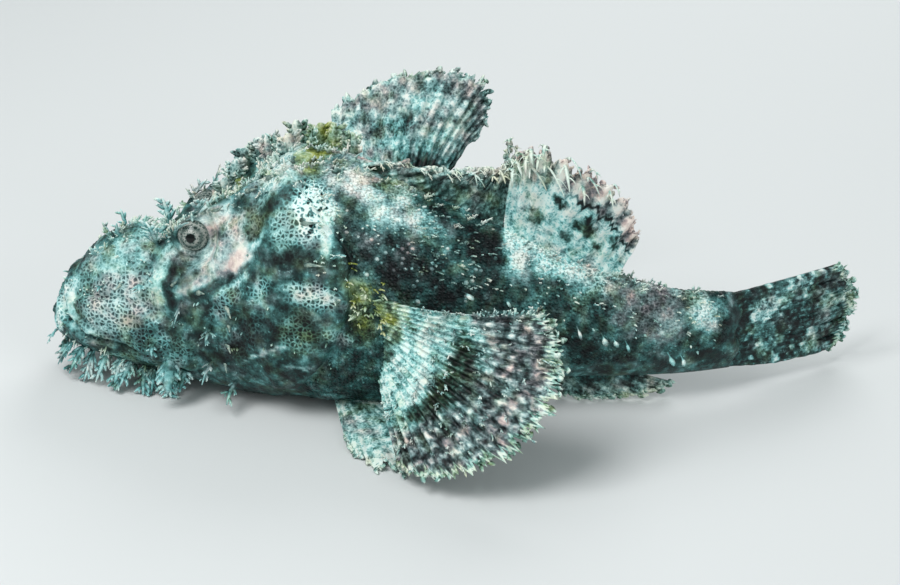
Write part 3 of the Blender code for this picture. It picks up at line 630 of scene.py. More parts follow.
    def build(self) -> bpy.types.Object:
        """Makes the skin's mesh.

        Returns:
            The piece.
        """
        grid = self.close_ends(self.points)
        rows, columns = grid.shape[:2]
        row, column = np.meshgrid(np.arange(rows - 1), np.arange(columns), indexing="ij")
        after = (column + 1) % columns
        faces = np.stack([(row + 1) * columns + column, (row + 1) * columns + after,
                          row * columns + after, row * columns + column], -1).reshape(-1, 4)
        u = np.stack([column, column + 1, column + 1, column], -1) / columns
        v = np.stack([row + 1, row + 1, row, row], -1) / (rows - 1)
        uv = np.stack([u, v], -1).reshape(-1, 2)
        layers = {name: np.concatenate([values[:1]] * 5 + [values] + [values[-1:]] * 8).ravel()
                  for name, values in self.looks.items()}
        self.normals = self.grid_normals(self.points)
        return new_mesh("body_skin", grid.reshape(-1, 3), faces, uv, layers)


@dataclass
class ScaleCoat:
    """Small overlapping scales over the flanks, back and tail stalk."""

    skin: BodySkin
    start: float = -14.0
    end: float = 146.5
    row_step: float = 1.5
    scale_step: float = 1.75
    belly_gap: float = 16.0

    def build(self) -> bpy.types.Object:
        """Lays the scales row by row, every second row half a scale further round.

        Returns:
            The piece.
        """
        chance = np.random.default_rng(31)
        skin = self.skin
        half = skin.columns // 2
        rows, columns = [], []
        for k, x in enumerate(np.arange(self.start, self.end, self.row_step)):
            row = float(np.interp(x, skin.stations, np.arange(len(skin.stations))))
            arcs = np.abs(skin.arcs[int(round(row)), :half + 1])
            first = 0.6 + (k % 2) * self.scale_step / 2
            spots = np.arange(first, arcs[-1] - self.belly_gap, self.scale_step)
            spots = spots + chance.uniform(-0.45, 0.45, len(spots))
            column = np.interp(spots, arcs, np.arange(half + 1))
            for side_column in (column, skin.columns - column):
                columns.append(side_column)
                rows.append(row + chance.uniform(-0.6, 0.6, len(spots)))
        row, column = np.concatenate(rows), np.concatenate(columns)
        row = np.clip(row, 0, len(skin.stations) - 1.01)
        degrees = np.degrees(np.abs(skin.sample(skin.angles, row, np.floor(column))))
        x = skin.sample(skin.plain[..., :1], row, column)[:, 0]
        behind = x > smooth_curve(skin.cover_back, degrees) + 1.5
        row, column = row[behind | (x > 15)], column[behind | (x > 15)]
        foot = skin.sample(skin.points, row, column)
        out = unit(skin.sample(skin.normals, row, column))
        along = skin.sample(np.gradient(skin.points, axis=0), row, column)
        along = unit(along - out * (along * out).sum(-1, keepdims=True))
        across = np.cross(out, along)
        size = chance.uniform(0.75, 1.2, len(foot))
        lift = chance.uniform(0.75, 1.25, len(foot))
        outline = np.array(((-0.95, 0, -0.2), (-0.45, -0.82, -0.18), (0.7, -0.66, 0.12), (1.15, 0, 0.2),
                            (0.7, 0.66, 0.12), (-0.45, 0.82, -0.18), (0.25, 0, 0.28), (0.1, 0, -0.6)))
        local = outline[None] * size[:, None, None]
        local[..., 2] *= lift[:, None]
        points = (foot[:, None] + local[..., :1] * along[:, None] + local[..., 1:2] * across[:, None]
                  + local[..., 2:] * out[:, None])
        points[..., 2] = np.maximum(points[..., 2], 0.02)
        ring = np.arange(6)
        after = (ring + 1) % 6
        shape = np.vstack([np.stack([ring, after, ring * 0 + 6], -1),
                           np.stack([after, ring, ring * 0 + 7], -1)])
        faces = (np.arange(len(foot))[:, None, None] * 8 + shape[None]).reshape(-1, 3)
        layers = {name: np.repeat(skin.sample(values, row, column), 8)
                  for name, values in skin.looks.items()}
        edge = np.tile(np.array((-0.08, -0.06, 0.03, 0.08, 0.03, -0.06, 0.0, -0.12)), len(foot))
        dots = np.repeat(chance.random(len(foot)) < 0.09, 8)
        pale = np.where(layers["net"] < -0.2, dots * (0.32 + 2 * edge), 0)
        layers["tone"] = layers["tone"] + edge + pale
        layers["pink"] = layers["pink"] + np.where(pale > 0, 0.35, 0)
        root = np.stack([column / skin.columns, row / len(skin.stations)], -1)
        spots = np.clip(root, 0.003, 0.997)[:, None] + local[..., (1, 0)] * 0.0011
        uv = spots.reshape(-1, 2)[faces.ravel()]
        return new_mesh("body_scales", points.reshape(-1, 3), faces, uv, layers)


@dataclass(frozen=True)
class Tassel:
    """A fleshy flap of skin: where it stands, its size, its lean and its colour."""

    x: float = 0.0
    z: float = 0.0
    length: float = 1.0
    width: float = 1.0
    back: float = 0.0
    up: float = 0.0
    fingers: int = 0
    sag: float = 0.1
    tone: float = 0.7
    pink: float = 0.0
    moss: float = 0.0
    sides: tuple[int, ...] = (-1, 1)
    club: bool = False
    net: float = 0.0


@dataclass
class Growths:
    """All the tassels, cirri and flaps of one piece, gathered as arrays."""

    name: str
    points: list[np.ndarray] = field(default_factory=list)
    faces: list[np.ndarray] = field(default_factory=list)
    uv: list[np.ndarray] = field(default_factory=list)
    looks: dict[str, list[np.ndarray]] = field(default_factory=lambda: {name: [] for name in LOOKS})
    count: int = 0

    def blade(self, foot: np.ndarray, aim: np.ndarray, across: np.ndarray, length: float, width: float,
              thickness: float, curl: np.ndarray, rings: int, spot: np.ndarray, colour: Look,
              waist: float = 0.5, club: bool = False) -> np.ndarray:
        """Adds one flat, tapering, curling blade with rounded tip.

        Args:
            foot: Its root.
            aim: Direction it sets off in.
            across: Direction of its width.
            length: Its length.
            width: Its greatest width.
            thickness: Its thickness at the root.
            curl: Bend at its tip, as a share of its length in each axis.
            rings: How many rings of four points it has.
            spot: Its root's place on the unwrapped skin.
            colour: Its tone, pink, moss and net.
            waist: Share of the width that it has at its root.
            club: Whether it is a thin stalk with a pale knob at its end.

        Returns:
            The middle of each ring.
        """
        across = unit(across - aim * (across @ aim))
        flat = np.cross(aim, across)
        t = np.linspace(-0.12, 1, rings)
        grown = np.clip(t, 0, 1)
        middle = foot + aim * length * t[:, None] + curl * length * (grown**2)[:, None]
        middle[:, 2] = np.maximum(middle[:, 2], thickness * 0.4)
        knob = np.exp(-((grown - 0.8) / 0.2) ** 2)
        shape = waist + (1 - waist) * np.sin(np.pi * (grown * 0.9 + 0.05)) ** 0.6
        half = width / 2 * (0.2 + 0.8 * knob if club else shape * (1 - 0.6 * grown**3))
        depth = thickness / 2 * (0.5 + knob if club else 1 - 0.5 * grown)
        ring = np.stack([middle + across * half[:, None], middle + flat * depth[:, None],
                         middle - across * half[:, None], middle - flat * depth[:, None]], 1)
        ring[..., 2] = np.maximum(ring[..., 2], 0.05)
        base = self.count
        self.points.append(ring.reshape(-1, 3))
        self.count += rings * 4
        r, c = np.meshgrid(np.arange(rings - 1), np.arange(4), indexing="ij")
        d = (c + 1) % 4
        sides = np.stack([r * 4 + c, r * 4 + d, (r + 1) * 4 + d, (r + 1) * 4 + c], -1).reshape(-1, 4)
        ends = np.array(((3, 2, 1, 0), tuple(rings * 4 - 4 + k for k in range(4))))
        faces = np.vstack([sides, ends])
        self.faces.append(faces + base)
        place = np.stack(np.broadcast_arrays(np.array((0.0, 0.5, 1.0, 0.5)), t[:, None]), -1).reshape(-1, 2)
        self.uv.append((np.clip(spot, 0.003, 0.995) + (place - 0.5) * 0.0028)[faces.ravel()])
        paler = 0.6 * knob - 0.55 if club else 0.42 * grown - 0.25
        for name, level in zip(self.looks, colour):
            self.looks[name].append(np.repeat(level + (paler if name == "tone" else 0 * paler), 4))
        return middle

    def tassel(self, foot: np.ndarray, out: np.ndarray, across: np.ndarray, plan: Tassel,
               spot: np.ndarray, chance: np.random.Generator) -> None:
        """Adds a blade and the fingers that branch off its two edges.

        Args:
            foot: Its root.
            out: Direction straight out of the skin.
            across: Direction along the body.
            plan: What it is like.
            spot: Its root's place on the unwrapped skin.
            chance: Source of its small differences.
        """
        aim = unit(out + np.array((plan.back, 0, plan.up)) + chance.uniform(-0.15, 0.15, 3))
        length = plan.length * chance.uniform(0.88, 1.14)
        curl = np.array((chance.uniform(-0.12, 0.22), chance.uniform(-0.1, 0.1), -plan.sag))
        colour = (plan.tone, plan.pink, plan.moss, plan.net)
        turned = unit(across * 1.0 + chance.uniform(-0.5, 0.5, 3))
        rings = 9 if plan.club else 7 if plan.length > 5 else 5
        broad = plan.width > 6
        stem = plan.width * (0.9 if broad or not plan.fingers else 0.45)
        middle = self.blade(foot, aim, turned, length, stem, 0.9, curl, rings, spot, colour,
                            waist=0.45, club=plan.club)
        turned = unit(turned - aim * (turned @ aim))
        for i in range(plan.fingers):
            share = 0.15 + 0.75 * (i + 0.5) / plan.fingers
            edge = 1 if i % 2 else -1
            at = share * (rings - 1)
            low = min(int(at), rings - 2)
            root = middle[low] * (1 - at + low) + middle[low + 1] * (at - low) + edge * turned * stem * 0.36
            branch = unit(aim + edge * turned * chance.uniform(0.6, 1.5) + chance.uniform(-0.35, 0.35, 3))
            reach = max(length * 0.32, plan.width * 0.42) * chance.uniform(0.6, 1.4) * (1.1 - 0.4 * share)
            finger = self.blade(root, branch, turned, reach, plan.width * 0.3, 0.6, curl * 0.8, 4, spot,
                                (plan.tone + 0.06, *colour[1:]), waist=0.6)
            for way in (-1, 1) if plan.fingers > 3 else ():
                twig = unit(branch + way * turned * chance.uniform(0.5, 1.1) + chance.uniform(-0.3, 0.3, 3))
                self.blade(finger[1 if way > 0 else 2], twig, turned, reach * chance.uniform(0.35, 0.6),
                           plan.width * 0.2, 0.45, curl, 3, spot, (plan.tone + 0.1, *colour[1:]),
                           waist=0.7)

    def build(self) -> bpy.types.Object:
        """Makes one piece of all that was gathered.

        Returns:
            The piece.
        """
        layers = {name: np.concatenate(values) for name, values in self.looks.items()}
        return new_mesh(self.name, np.concatenate(self.points), np.concatenate(self.faces),
                        np.concatenate(self.uv), layers)


@dataclass(frozen=True)
class Bed:
    """Skin strewn with small cirri, between two stations and two ways down from the back line."""

    stations: tuple[float, float]
    down: tuple[float, float]
    count: int
    length: float
    width: float
    sag: float
    tone: float
    pink: float
    moss: float
    fingers: int


@dataclass
class SkinGrowths:
    """Tassels, beard, nape lobes and scattered cirri that stand on the skin."""

    skin: BodySkin

    def stand(self, growths: Growths, x: float, arc: float, plan: Tassel,
              chance: np.random.Generator) -> None:
        """Roots one tassel on the skin.

        Args:
            growths: Where it is gathered.
            x: Its station.
            arc: Its way round from the back line, negative on the left side.
            plan: What it is like.
            chance: Source of its small differences.
        """
        row, column = self.skin.cell_of(x, arc)
        foot = self.skin.sample(self.skin.points, row, column)
        out = unit(self.skin.sample(self.skin.normals, row, column))
        along = unit(self.skin.sample(np.gradient(self.skin.points, axis=0), row, column))
        spot = np.array((column / self.skin.columns, row / len(self.skin.stations)))
        growths.tassel(foot - out * 0.3, out, along, plan, spot, chance)

    def named(self, plans: tuple[Tassel, ...]) -> bpy.types.Object:
        """Makes the large tassels, each where it is named.

        Args:
            plans: Their places and shapes.

        Returns:
            The piece.
        """
        growths = Growths("skin_tassels")
        chance = np.random.default_rng(41)
        for plan in plans:
            for side in plan.sides:
                self.stand(growths, plan.x, self.skin.arc_at_level(plan.x, plan.z, side), plan, chance)
        return growths.build()

    def scattered(self, beds: tuple[Bed, ...]) -> bpy.types.Object:
        """Makes the small cirri that are strewn over beds of skin.

        Args:
            beds: The stretches of skin and what grows there.

        Returns:
            The piece.
        """
        growths = Growths("skin_cirri")
        chance = np.random.default_rng(43)
        for bed in beds:
            for _ in range(bed.count):
                side = 1 if chance.random() < 0.5 else -1
                x = chance.uniform(*bed.stations)
                arc = side * chance.uniform(*bed.down)
                plan = Tassel(length=bed.length * chance.uniform(0.6, 1.4),
                              width=bed.width * chance.uniform(0.7, 1.3),
                              back=chance.uniform(-0.2, 0.6), up=chance.uniform(-0.1, 0.4),
                              fingers=bed.fingers, sag=bed.sag,
                              tone=bed.tone + chance.uniform(-0.12, 0.12), pink=bed.pink, moss=bed.moss)
                self.stand(growths, x, arc, plan, chance)
        return growths.build()


@dataclass(frozen=True)
class Spine:
    """A bony point on the head: its place, length, radius and lean."""

    x: float
    z: float
    length: float
    radius: float
    back: float
    up: float


@dataclass
class HeadSpines:
    """Spines of the skull, cheek and gill cover, copies of one modelled cone."""

    skin: BodySkin

    def pattern(self) -> bpy.types.Mesh:
        """Models one spine with a slight waist.

        Returns:
            Its mesh, one unit long.
        """
        bpy.ops.object.select_all(action="DESELECT")
        bpy.ops.mesh.primitive_cone_add(vertices=10, radius1=1.0, radius2=0.12, depth=1.0)
        cone = bpy.context.object
        bpy.ops.object.mode_set(mode="EDIT")
        bpy.ops.mesh.select_all(action="SELECT")
        bpy.ops.mesh.subdivide(number_cuts=2)
        bpy.ops.object.mode_set(mode="OBJECT")
        for vertex in cone.data.vertices:
            vertex.co.z += 0.5
            vertex.co.x *= 1 - 0.35 * math.sin(math.pi * vertex.co.z)
            vertex.co.y *= 1 - 0.35 * math.sin(math.pi * vertex.co.z)
        mesh = cone.data.copy()
        bpy.data.objects.remove(cone)
        return mesh

    def build(self, spines: tuple[Spine, ...]) -> bpy.types.Object:
        """Places a copy for each spine on each side and joins them.

        Args:
            spines: Their places and sizes.

        Returns:
            The piece.
        """
        pattern = self.pattern()
        bpy.ops.object.select_all(action="DESELECT")
        copies = []
        for spine in spines:
            for side in Side:
                arc = self.skin.arc_at_level(spine.x, spine.z, side.value)
                row, column = self.skin.cell_of(spine.x, arc)
                foot = self.skin.sample(self.skin.points, row, column)
                out = unit(self.skin.sample(self.skin.normals, row, column))
                aim = Vector(unit(out + np.array((spine.back, 0, spine.up))))
                mesh = pattern.copy()
                turn = aim.to_track_quat("Z", "Y").to_matrix().to_4x4()
                size = Matrix.Diagonal((spine.radius * MM, spine.radius * MM, (spine.length + 1.5) * MM, 1))
                mesh.transform(Matrix.Translation(Vector(foot) * MM - aim * 1.5 * MM) @ turn @ size)
                copy = bpy.data.objects.new("spine", mesh)
                bpy.context.scene.collection.objects.link(copy)
                copy.select_set(True)
                copies.append(copy)
        bpy.context.view_layer.objects.active = copies[0]
        bpy.ops.object.join()
        piece = bpy.context.object
        piece.name = "head_spines"
        bpy.ops.object.shade_smooth()
        piece.data.uv_layers[0].name = "OFBake"
        return piece


@dataclass(frozen=True)
class FinLook:
    """Colouring of a fin, each zone as its tone and its shares of pink, moss and net.

    The inner zone gives way to the outer at turn, a share of the way out that wanders from
    ray to ray. Rays are paler than the web by ray_lift and banded at each joint, which is
    in millimetres. rim and root_reach are the widths of the outermost and innermost zones.
    """

    inner: Look
    outer: Look
    margin: Look
    root: Look = (0.28, 0.0, 0.0, -0.3)
    turn: float = 0.5
    wander: float = 0.35
    ray_lift: float = 0.3
    joint: float = 4.0
    joint_depth: float = 0.16
    fleck: float = 0.3
    rim: float = 0.05
    root_reach: float = 0.05


@dataclass
class RayFin:
    """A fin of rays that fork towards their tips, with a thin web between them."""

    name: str
    roots: np.ndarray
    knees: np.ndarray
    tips: np.ndarray
    ray_width: float
    web_width: float
    notch: float
    root_width: float
    look: FinLook
    rows: int = 90
    between: int = 10
    forks: bool = True
    fold: float = 0.5
    frill: float = 0.03
    ray_share: float = 0.13
    bent: bool = True
    marks: tuple[Mark, ...] = ()
    front: np.ndarray = field(init=False)
    back: np.ndarray = field(init=False)

    def grids(self) -> tuple[np.ndarray, np.ndarray, dict[str, np.ndarray]]:
        """Lays out both faces of the fin.

        Returns:
            The two grids of points, and the values that the colours use.
        """
        rays = len(self.roots)
        columns = (rays - 1) * self.between + 1
        position = np.arange(columns) / self.between
        index = np.arange(rays)
        near = np.abs(position - np.round(position))
        noise = Noise(len(self.name) * 7 + rays)
        wander = np.stack([position * 3.1, 0 * position, 0 * position], -1)
        reach = 1 - self.notch * np.clip(near * 2, 0, 1) ** 1.5 + self.frill * noise.layered(wander, 1.0, 3)
        reach += self.frill * 0.6 * np.cos(position * math.pi * 6)
        lines = [np.stack([np.interp(position, index, p[:, k]) for k in range(3)], -1)
                 for p in (self.roots, self.knees, self.tips)]
        share = np.linspace(0, 1, self.rows)[:, None]
        t = (share * reach[None, :])[..., None]
        middle = (1 - t) ** 2 * lines[0] + 2 * t * (1 - t) * lines[1] + t**2 * lines[2]
        normal = unit(np.cross(np.gradient(middle, axis=1), np.gradient(middle, axis=0)))
        spread = np.broadcast_to(near[None, :], (self.rows, columns))
        split = 0.24 * ease((share - 0.5) / 0.45) if self.forks else 0 * share
        ray = np.exp(-((spread - split) / self.ray_share) ** 2)
        length = np.linalg.norm(np.gradient(middle, axis=0), axis=-1).cumsum(0)
        joint = np.cos(length * 2 * math.pi / self.look.joint + np.round(position) * 1.7)
        taper = 1 - 0.55 * t[..., 0]
        thicker = self.ray_width - self.web_width * 0.5
        width = self.web_width * 0.5 + thicker * ray * taper * (1 + 0.16 * joint)
        width = width + (self.root_width - width) * np.clip(1 - 5 * t[..., 0], 0, 1)
        fold = self.fold * np.cos(position * math.pi * 2)[None, :] * ease(share * 1.5)
        ripple = noise.layered(middle, 7.0, 3) * 1.0 * ease((share - 0.2) / 0.7)
        frilled = noise.smooth(middle, 3.2) * 0.9 * ease((share - 0.8) / 0.2)
        middle = middle + normal * (fold + ripple + frilled)[..., None]
        width = width + 0.25 * noise.layered(middle + 31, 1.6, 2) * ease((share - 0.06) / 0.2) * (0.4 + ray)
        width = np.maximum(width, 0.25)
        if self.bent:
            middle, normal = LOFT.bend(middle), unit(LOFT.bend(middle + normal) - LOFT.bend(middle))
        values = {"share": share + 0 * spread, "ray": ray, "joint": joint,
                  "position": position + 0 * spread}
        return middle + normal * width[..., None] / 2, middle - normal * width[..., None] / 2, values

    def paint(self, points: np.ndarray, values: dict[str, np.ndarray]) -> dict[str, np.ndarray]:
        """Works out the looks of the fin.

        Args:
            points: One face of the fin.
            values: What the grids gave for each of its points.

        Returns:
            The looks by name.
        """
        look, noise = self.look, Noise(21)
        share, ray = values["share"], values["ray"]
        patch = noise.layered(points, 8.0, 3)
        blend = ease((share - look.turn + look.wander * patch) / 0.28 + 0.5)[..., None]
        zones = np.array(look.inner) * (1 - blend) + np.array(look.outer) * blend
        root = (1 - ease((share - look.root_reach - 0.08 * patch) / 0.12))[..., None]
        zones = zones + (np.array(look.root) - zones) * root
        grain = noise.layered(points, 4.0, 2)
        for mark in self.marks:
            along = (values["position"] - mark.x) / mark.long
            spread = along**2 + ((share - mark.down) / mark.deep) ** 2
            weight = ease(1.35 * np.exp(-0.8 * spread - 0.5 * grain * (spread < 4)) - 0.18)
            colour = np.array((mark.tone, mark.pink, mark.moss, mark.net))
            zones = zones + (colour - zones) * weight[..., None]
        edge = ease((share - 1 + look.rim + 0.02 * patch) / (look.rim * 0.4))[..., None]
        zones = zones + (np.array(look.margin) - zones) * edge
        tone = zones[..., 0] + look.ray_lift * (ray - 0.35) * (0.15 + 0.85 * blend[..., 0])
        tone = tone - look.joint_depth * (0.5 - 0.5 * values["joint"]) * ray * (0.3 + 0.7 * blend[..., 0])
        flecks = ease((noise.smooth(points + 9, 2.6) - 0.32) / 0.3)
        tone = tone + look.fleck * flecks
        return {"tone": tone, "pink": zones[..., 1], "moss": zones[..., 2], "net": zones[..., 3]}

    def build(self) -> bpy.types.Object:
        """Makes the fin's mesh, both faces and the rim between them.

        Returns:
            The piece.
        """
        front, back, values = self.grids()
        for grid in (front, back):
            grid[..., 2] = np.maximum(grid[..., 2], 0.1)
        rows, columns = front.shape[:2]
        size = rows * columns
        row, column = np.meshgrid(np.arange(rows - 1), np.arange(columns - 1), indexing="ij")
        a = (row * columns + column).reshape(-1)
        face = np.stack([a, a + 1, a + columns + 1, a + columns], -1)
        u, v = column.reshape(-1) / (columns - 1), row.reshape(-1) / (rows - 1)
        du, dv = 1 / (columns - 1), 1 / (rows - 1)
        corner = np.stack([np.stack([u, u + du, u + du, u], -1), np.stack([v, v, v + dv, v + dv], -1)], -1)
        rim = list(range(columns))
        rim += [r * columns + columns - 1 for r in range(1, rows)]
        rim += [(rows - 1) * columns + c for c in range(columns - 2, -1, -1)]
        rim += [r * columns for r in range(rows - 2, 0, -1)]
        rim = np.array(rim)
        after = np.roll(rim, -1)
        wall = np.stack([after, rim, rim + size, after + size], -1)
        spot = np.stack([(rim % columns) / (columns - 1), (rim // columns) / (rows - 1)], -1)
        spot_after = np.roll(spot, -1, axis=0)
        wall_uv = np.stack([spot_after, spot, spot, spot_after], 1)
        faces = np.vstack([face, size + face[:, ::-1], wall])
        half = np.array((0.5, 1.0))
        uv = np.concatenate([corner * half, corner[:, ::-1] * half + (0.5, 0), wall_uv * half])
        points = np.vstack([front.reshape(-1, 3), back.reshape(-1, 3)])
        painted = self.paint((front + back) / 2, values)
        looks = {name: np.tile(grid.ravel(), 2) for name, grid in painted.items()}
        self.front, self.back = front, back
        return new_mesh(self.name + "_web", points, faces[:, ::-1], uv[:, ::-1].reshape(-1, 2), looks)

    def fringe(self, growths: Growths, count: int, pattern: Tassel, chance: np.random.Generator) -> None:
        """Adds small flaps of skin along the fin's free margin.

        Args:
            growths: Where they are gathered.
            count: How many.
            pattern: What they are like.
            chance: Source of their differences.
        """
        middle = (self.front + self.back) / 2
        columns = middle.shape[1]
        for _ in range(count):
            column = int(chance.integers(1, columns - 1))
            foot, before = middle[-1, column], middle[-5, column]
            aim = unit(unit(foot - before) + chance.normal(0, 0.5, 3))
            across = middle[-1, column + 1] - middle[-1, column - 1]
            spot = np.array((column / columns * 0.5, 1.0))
            length = pattern.length * chance.uniform(0.5, 1.5)
            width = pattern.width * chance.uniform(0.6, 1.3)
            curl = chance.normal(0, 0.12, 3)
            colour = (pattern.tone + chance.uniform(-0.15, 0.15), pattern.pink, pattern.moss, 0.0)
            growths.blade(foot - aim * 0.5, aim, unit(across), length, width, 0.5, curl, 4, spot, colour,
                          waist=0.7)

    def tufts(self, growths: Growths, count: int, pattern: Tassel, chance: np.random.Generator) -> None:
        """Adds small tassels on the fin's front face, every fourth along its leading ray.

        Args:
            growths: Where they are gathered.
            count: How many.
            pattern: What they are like, its width a share of their length.
            chance: Source of their differences.
        """
        rows, columns = self.front.shape[:2]
        for k in range(count):
            row = int(rows * chance.uniform(0.3, 0.99))
            column = int(chance.integers(1, columns - 1)) if k % 4 else 1
            foot, back = self.front[row, column], self.back[row, column]
            out = unit(foot - back) if k % 4 else unit(self.front[row, 0] - self.front[row, 3])
            aim = unit(out + unit(foot - self.front[row - 3, column]) * chance.uniform(0.2, 0.9))
            spot = np.array((column / columns * 0.5, row / rows))
            size = pattern.length * chance.uniform(0.6, 1.4)
            plan = replace(pattern, length=size, width=size * pattern.width,
                           tone=pattern.tone + chance.uniform(-0.15, 0.15))
            across = unit(self.front[row, column + 1] - foot)
            growths.tassel(foot - out * 0.2, aim, across, plan, spot, chance)

    def flags(self, growths: Growths, sizes: tuple[float, ...], pattern: Tassel,
              chance: np.random.Generator) -> None:
        """Adds fleshy straps at the tips of the rays, which fall to the left side.

        Args:
            growths: Where they are gathered.
            sizes: Length of the straps of each ray, 0 for none.
            pattern: What they are like, its width a share of their length.
            chance: Source of their differences.
        """
        middle = (self.front + self.back) / 2
        for ray, size in enumerate(sizes):
            column = min(ray * self.between, middle.shape[1] - 1)
            for share in (1.0, 0.93, 0.84) if size else ():
                row = int(share * (self.rows - 1))
                foot = middle[row, column]
                run = foot - middle[row - 5, column]
                aim = unit(unit(run) + chance.normal(0, 0.4, 3) + (0, -0.45, 0))
                spot = np.array((column / middle.shape[1] * 0.5, share))
                plan = replace(pattern, length=size, width=size * pattern.width,
                               back=chance.uniform(-0.3, 0.3),
                               tone=pattern.tone + chance.uniform(-0.12, 0.1))
                growths.tassel(foot, aim, np.array((1.0, 0.3, 0.0)), plan, spot, chance)


@dataclass(frozen=True)
class FinPlans:
    """Places of all the fins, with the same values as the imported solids."""

    sunk: float = 3.0
    back_spines: int = 12
    back_rays: int = 10
    anal_rays: int = 8
    tail_rays: int = 13
    tail_reach: float = 58.0
    fan_rays: int = 19
    pelvic_rays: int = 6

    def spinous_dorsal(self) -> RayFin:
        """Plans the folded fin of twelve spines along the back.

        Returns:
            The fin.
        """
        share = np.linspace(0, 1, self.back_spines)
        base_x = 8 + 53 * share
        lengths = ((0, 11), (0.15, 16), (0.4, 19), (0.7, 20), (0.85, 22), (1, 31))
        angles = ((0, 14), (0.2, 16), (0.45, 30), (0.7, 46), (0.85, 62), (1, 82))
        length = smooth_curve(lengths, share) + self.sunk
        angle = np.radians(smooth_curve(angles, share))
        lean = np.where(np.arange(self.back_spines) % 2 == 0, -1.6, 1.0)
        roots = np.stack([base_x, 0 * base_x, smooth_curve(LOFT.top, base_x) - self.sunk], -1)
        tips = roots + np.stack([length * np.cos(angle), lean, length * np.sin(angle)], -1)
        knees = (roots + tips) / 2 + np.stack([0 * lean, 0 * lean, 0.06 * length], -1)
        roots = np.vstack([roots, roots[-1] + (2.6, 0, -1)])
        tips = np.vstack([tips, tips[-1] + (2.6, -0.4, -3)])
        knees = np.vstack([knees, (roots[-1] + tips[-1]) / 2])
        look = FinLook(inner=(0.3, 0.15, 0.1, -0.4), outer=(0.5, 0.3, 0.1, 0.3), margin=(0.9, 0.5, 0.15, 0),
                       root=(0.3, 0.2, 0.1, -0.3), wander=0.4, ray_lift=0.25, joint=3.2, joint_depth=0.12,
                       fleck=0.4, rim=0.1)
        return RayFin("spinous_dorsal_fin", roots, knees, tips, ray_width=2.2, web_width=0.9, notch=0.3,
                      root_width=3.0, look=look, rows=70, between=14, forks=False, fold=0.3, frill=0.08)

    def soft_dorsal(self) -> RayFin:
        """Plans the tall, curled fin behind it.

        Returns:
            The fin.
        """
        base_x = np.linspace(64.5, 105, self.back_rays)
        roots = np.stack([base_x, 0 * base_x, smooth_curve(LOFT.top, base_x) - self.sunk], -1)
        margin = ((69, -3, 97), (78, -5, 100.5), (91, -6, 95), (104, -5, 86), (110, -3, 74), (112, -1, 64))
        tips = interpolate(margin, self.back_rays)
        knees = (roots + tips) / 2 + (-1.5, -1.5, 1.0)
        look = FinLook(inner=(0.76, 0, 0, 0.4), outer=(0.62, 1, 0, 0.1), margin=(0.6, 1, 0, 0),
                       root=(0.76, 0, 0, 0.4), turn=0.76, wander=0.1, ray_lift=0.85, joint=5.5,
                       joint_depth=0.3, fleck=0.1, rim=0.03)
        marks = (Mark(5.2, 0.5, 0.7, 0.1, 0.06, 0.1, 0.1), Mark(7.2, 0.6, 0.5, 0.08, 0.08, 0.1, 0.1),
                 Mark(3.4, 0.62, 0.5, 0.06, 0.2, 0.1, 0.1), Mark(6.2, 0.4, 0.35, 0.05, 0.12, 0.1, 0.1),
                 Mark(2.2, 0.35, 0.5, 0.1, 0.34, 0.1, 0.3), Mark(4.4, 0.3, 0.5, 0.06, 0.36, 0.1, 0.1),
                 Mark(1.0, 0.86, 1.8, 0.16, 0.82, 0.3, 0.2, 0.3), Mark(4.6, 0.73, 1.0, 0.03, 0.1, 0.3),
                 Mark(6.4, 0.75, 0.9, 0.03, 0.1, 0.3), Mark(8.2, 0.74, 0.8, 0.035, 0.12, 0.3))
        return RayFin("soft_dorsal_fin", roots, knees, tips, ray_width=1.9, web_width=0.7, notch=0.12,
                      root_width=3.0, look=look, between=16, forks=False, fold=0.6, frill=0.04,
                      ray_share=0.3, marks=marks)

    def anal(self) -> RayFin:
        """Plans the fin under the stalk.

        Returns:
            The fin.
        """
        base_x = np.linspace(75, 105, self.anal_rays)
        roots = np.stack([base_x, 0 * base_x, smooth_curve(LOFT.bottom, base_x) + self.sunk], -1)
        margin = ((86, -1.5, 1.5), (100, -2, 0.9), (112, -2, 1.2), (124, -1, 3.5), (127, 0, 6))
        tips = interpolate(margin, self.anal_rays)
        knees = (roots + tips) / 2 + (1.0, 0, -0.6)
        look = FinLook(inner=(0.3, 0, 0, -0.3), outer=(0.45, 0.3, 0.1, 0.2), margin=(0.7, 0.1, 0.3, 0))
        return RayFin("anal_fin", roots, knees, tips, ray_width=1.7, web_width=0.7, notch=0.12,
                      root_width=2.6, look=look, rows=60, between=12, fold=0.4, frill=0.04)

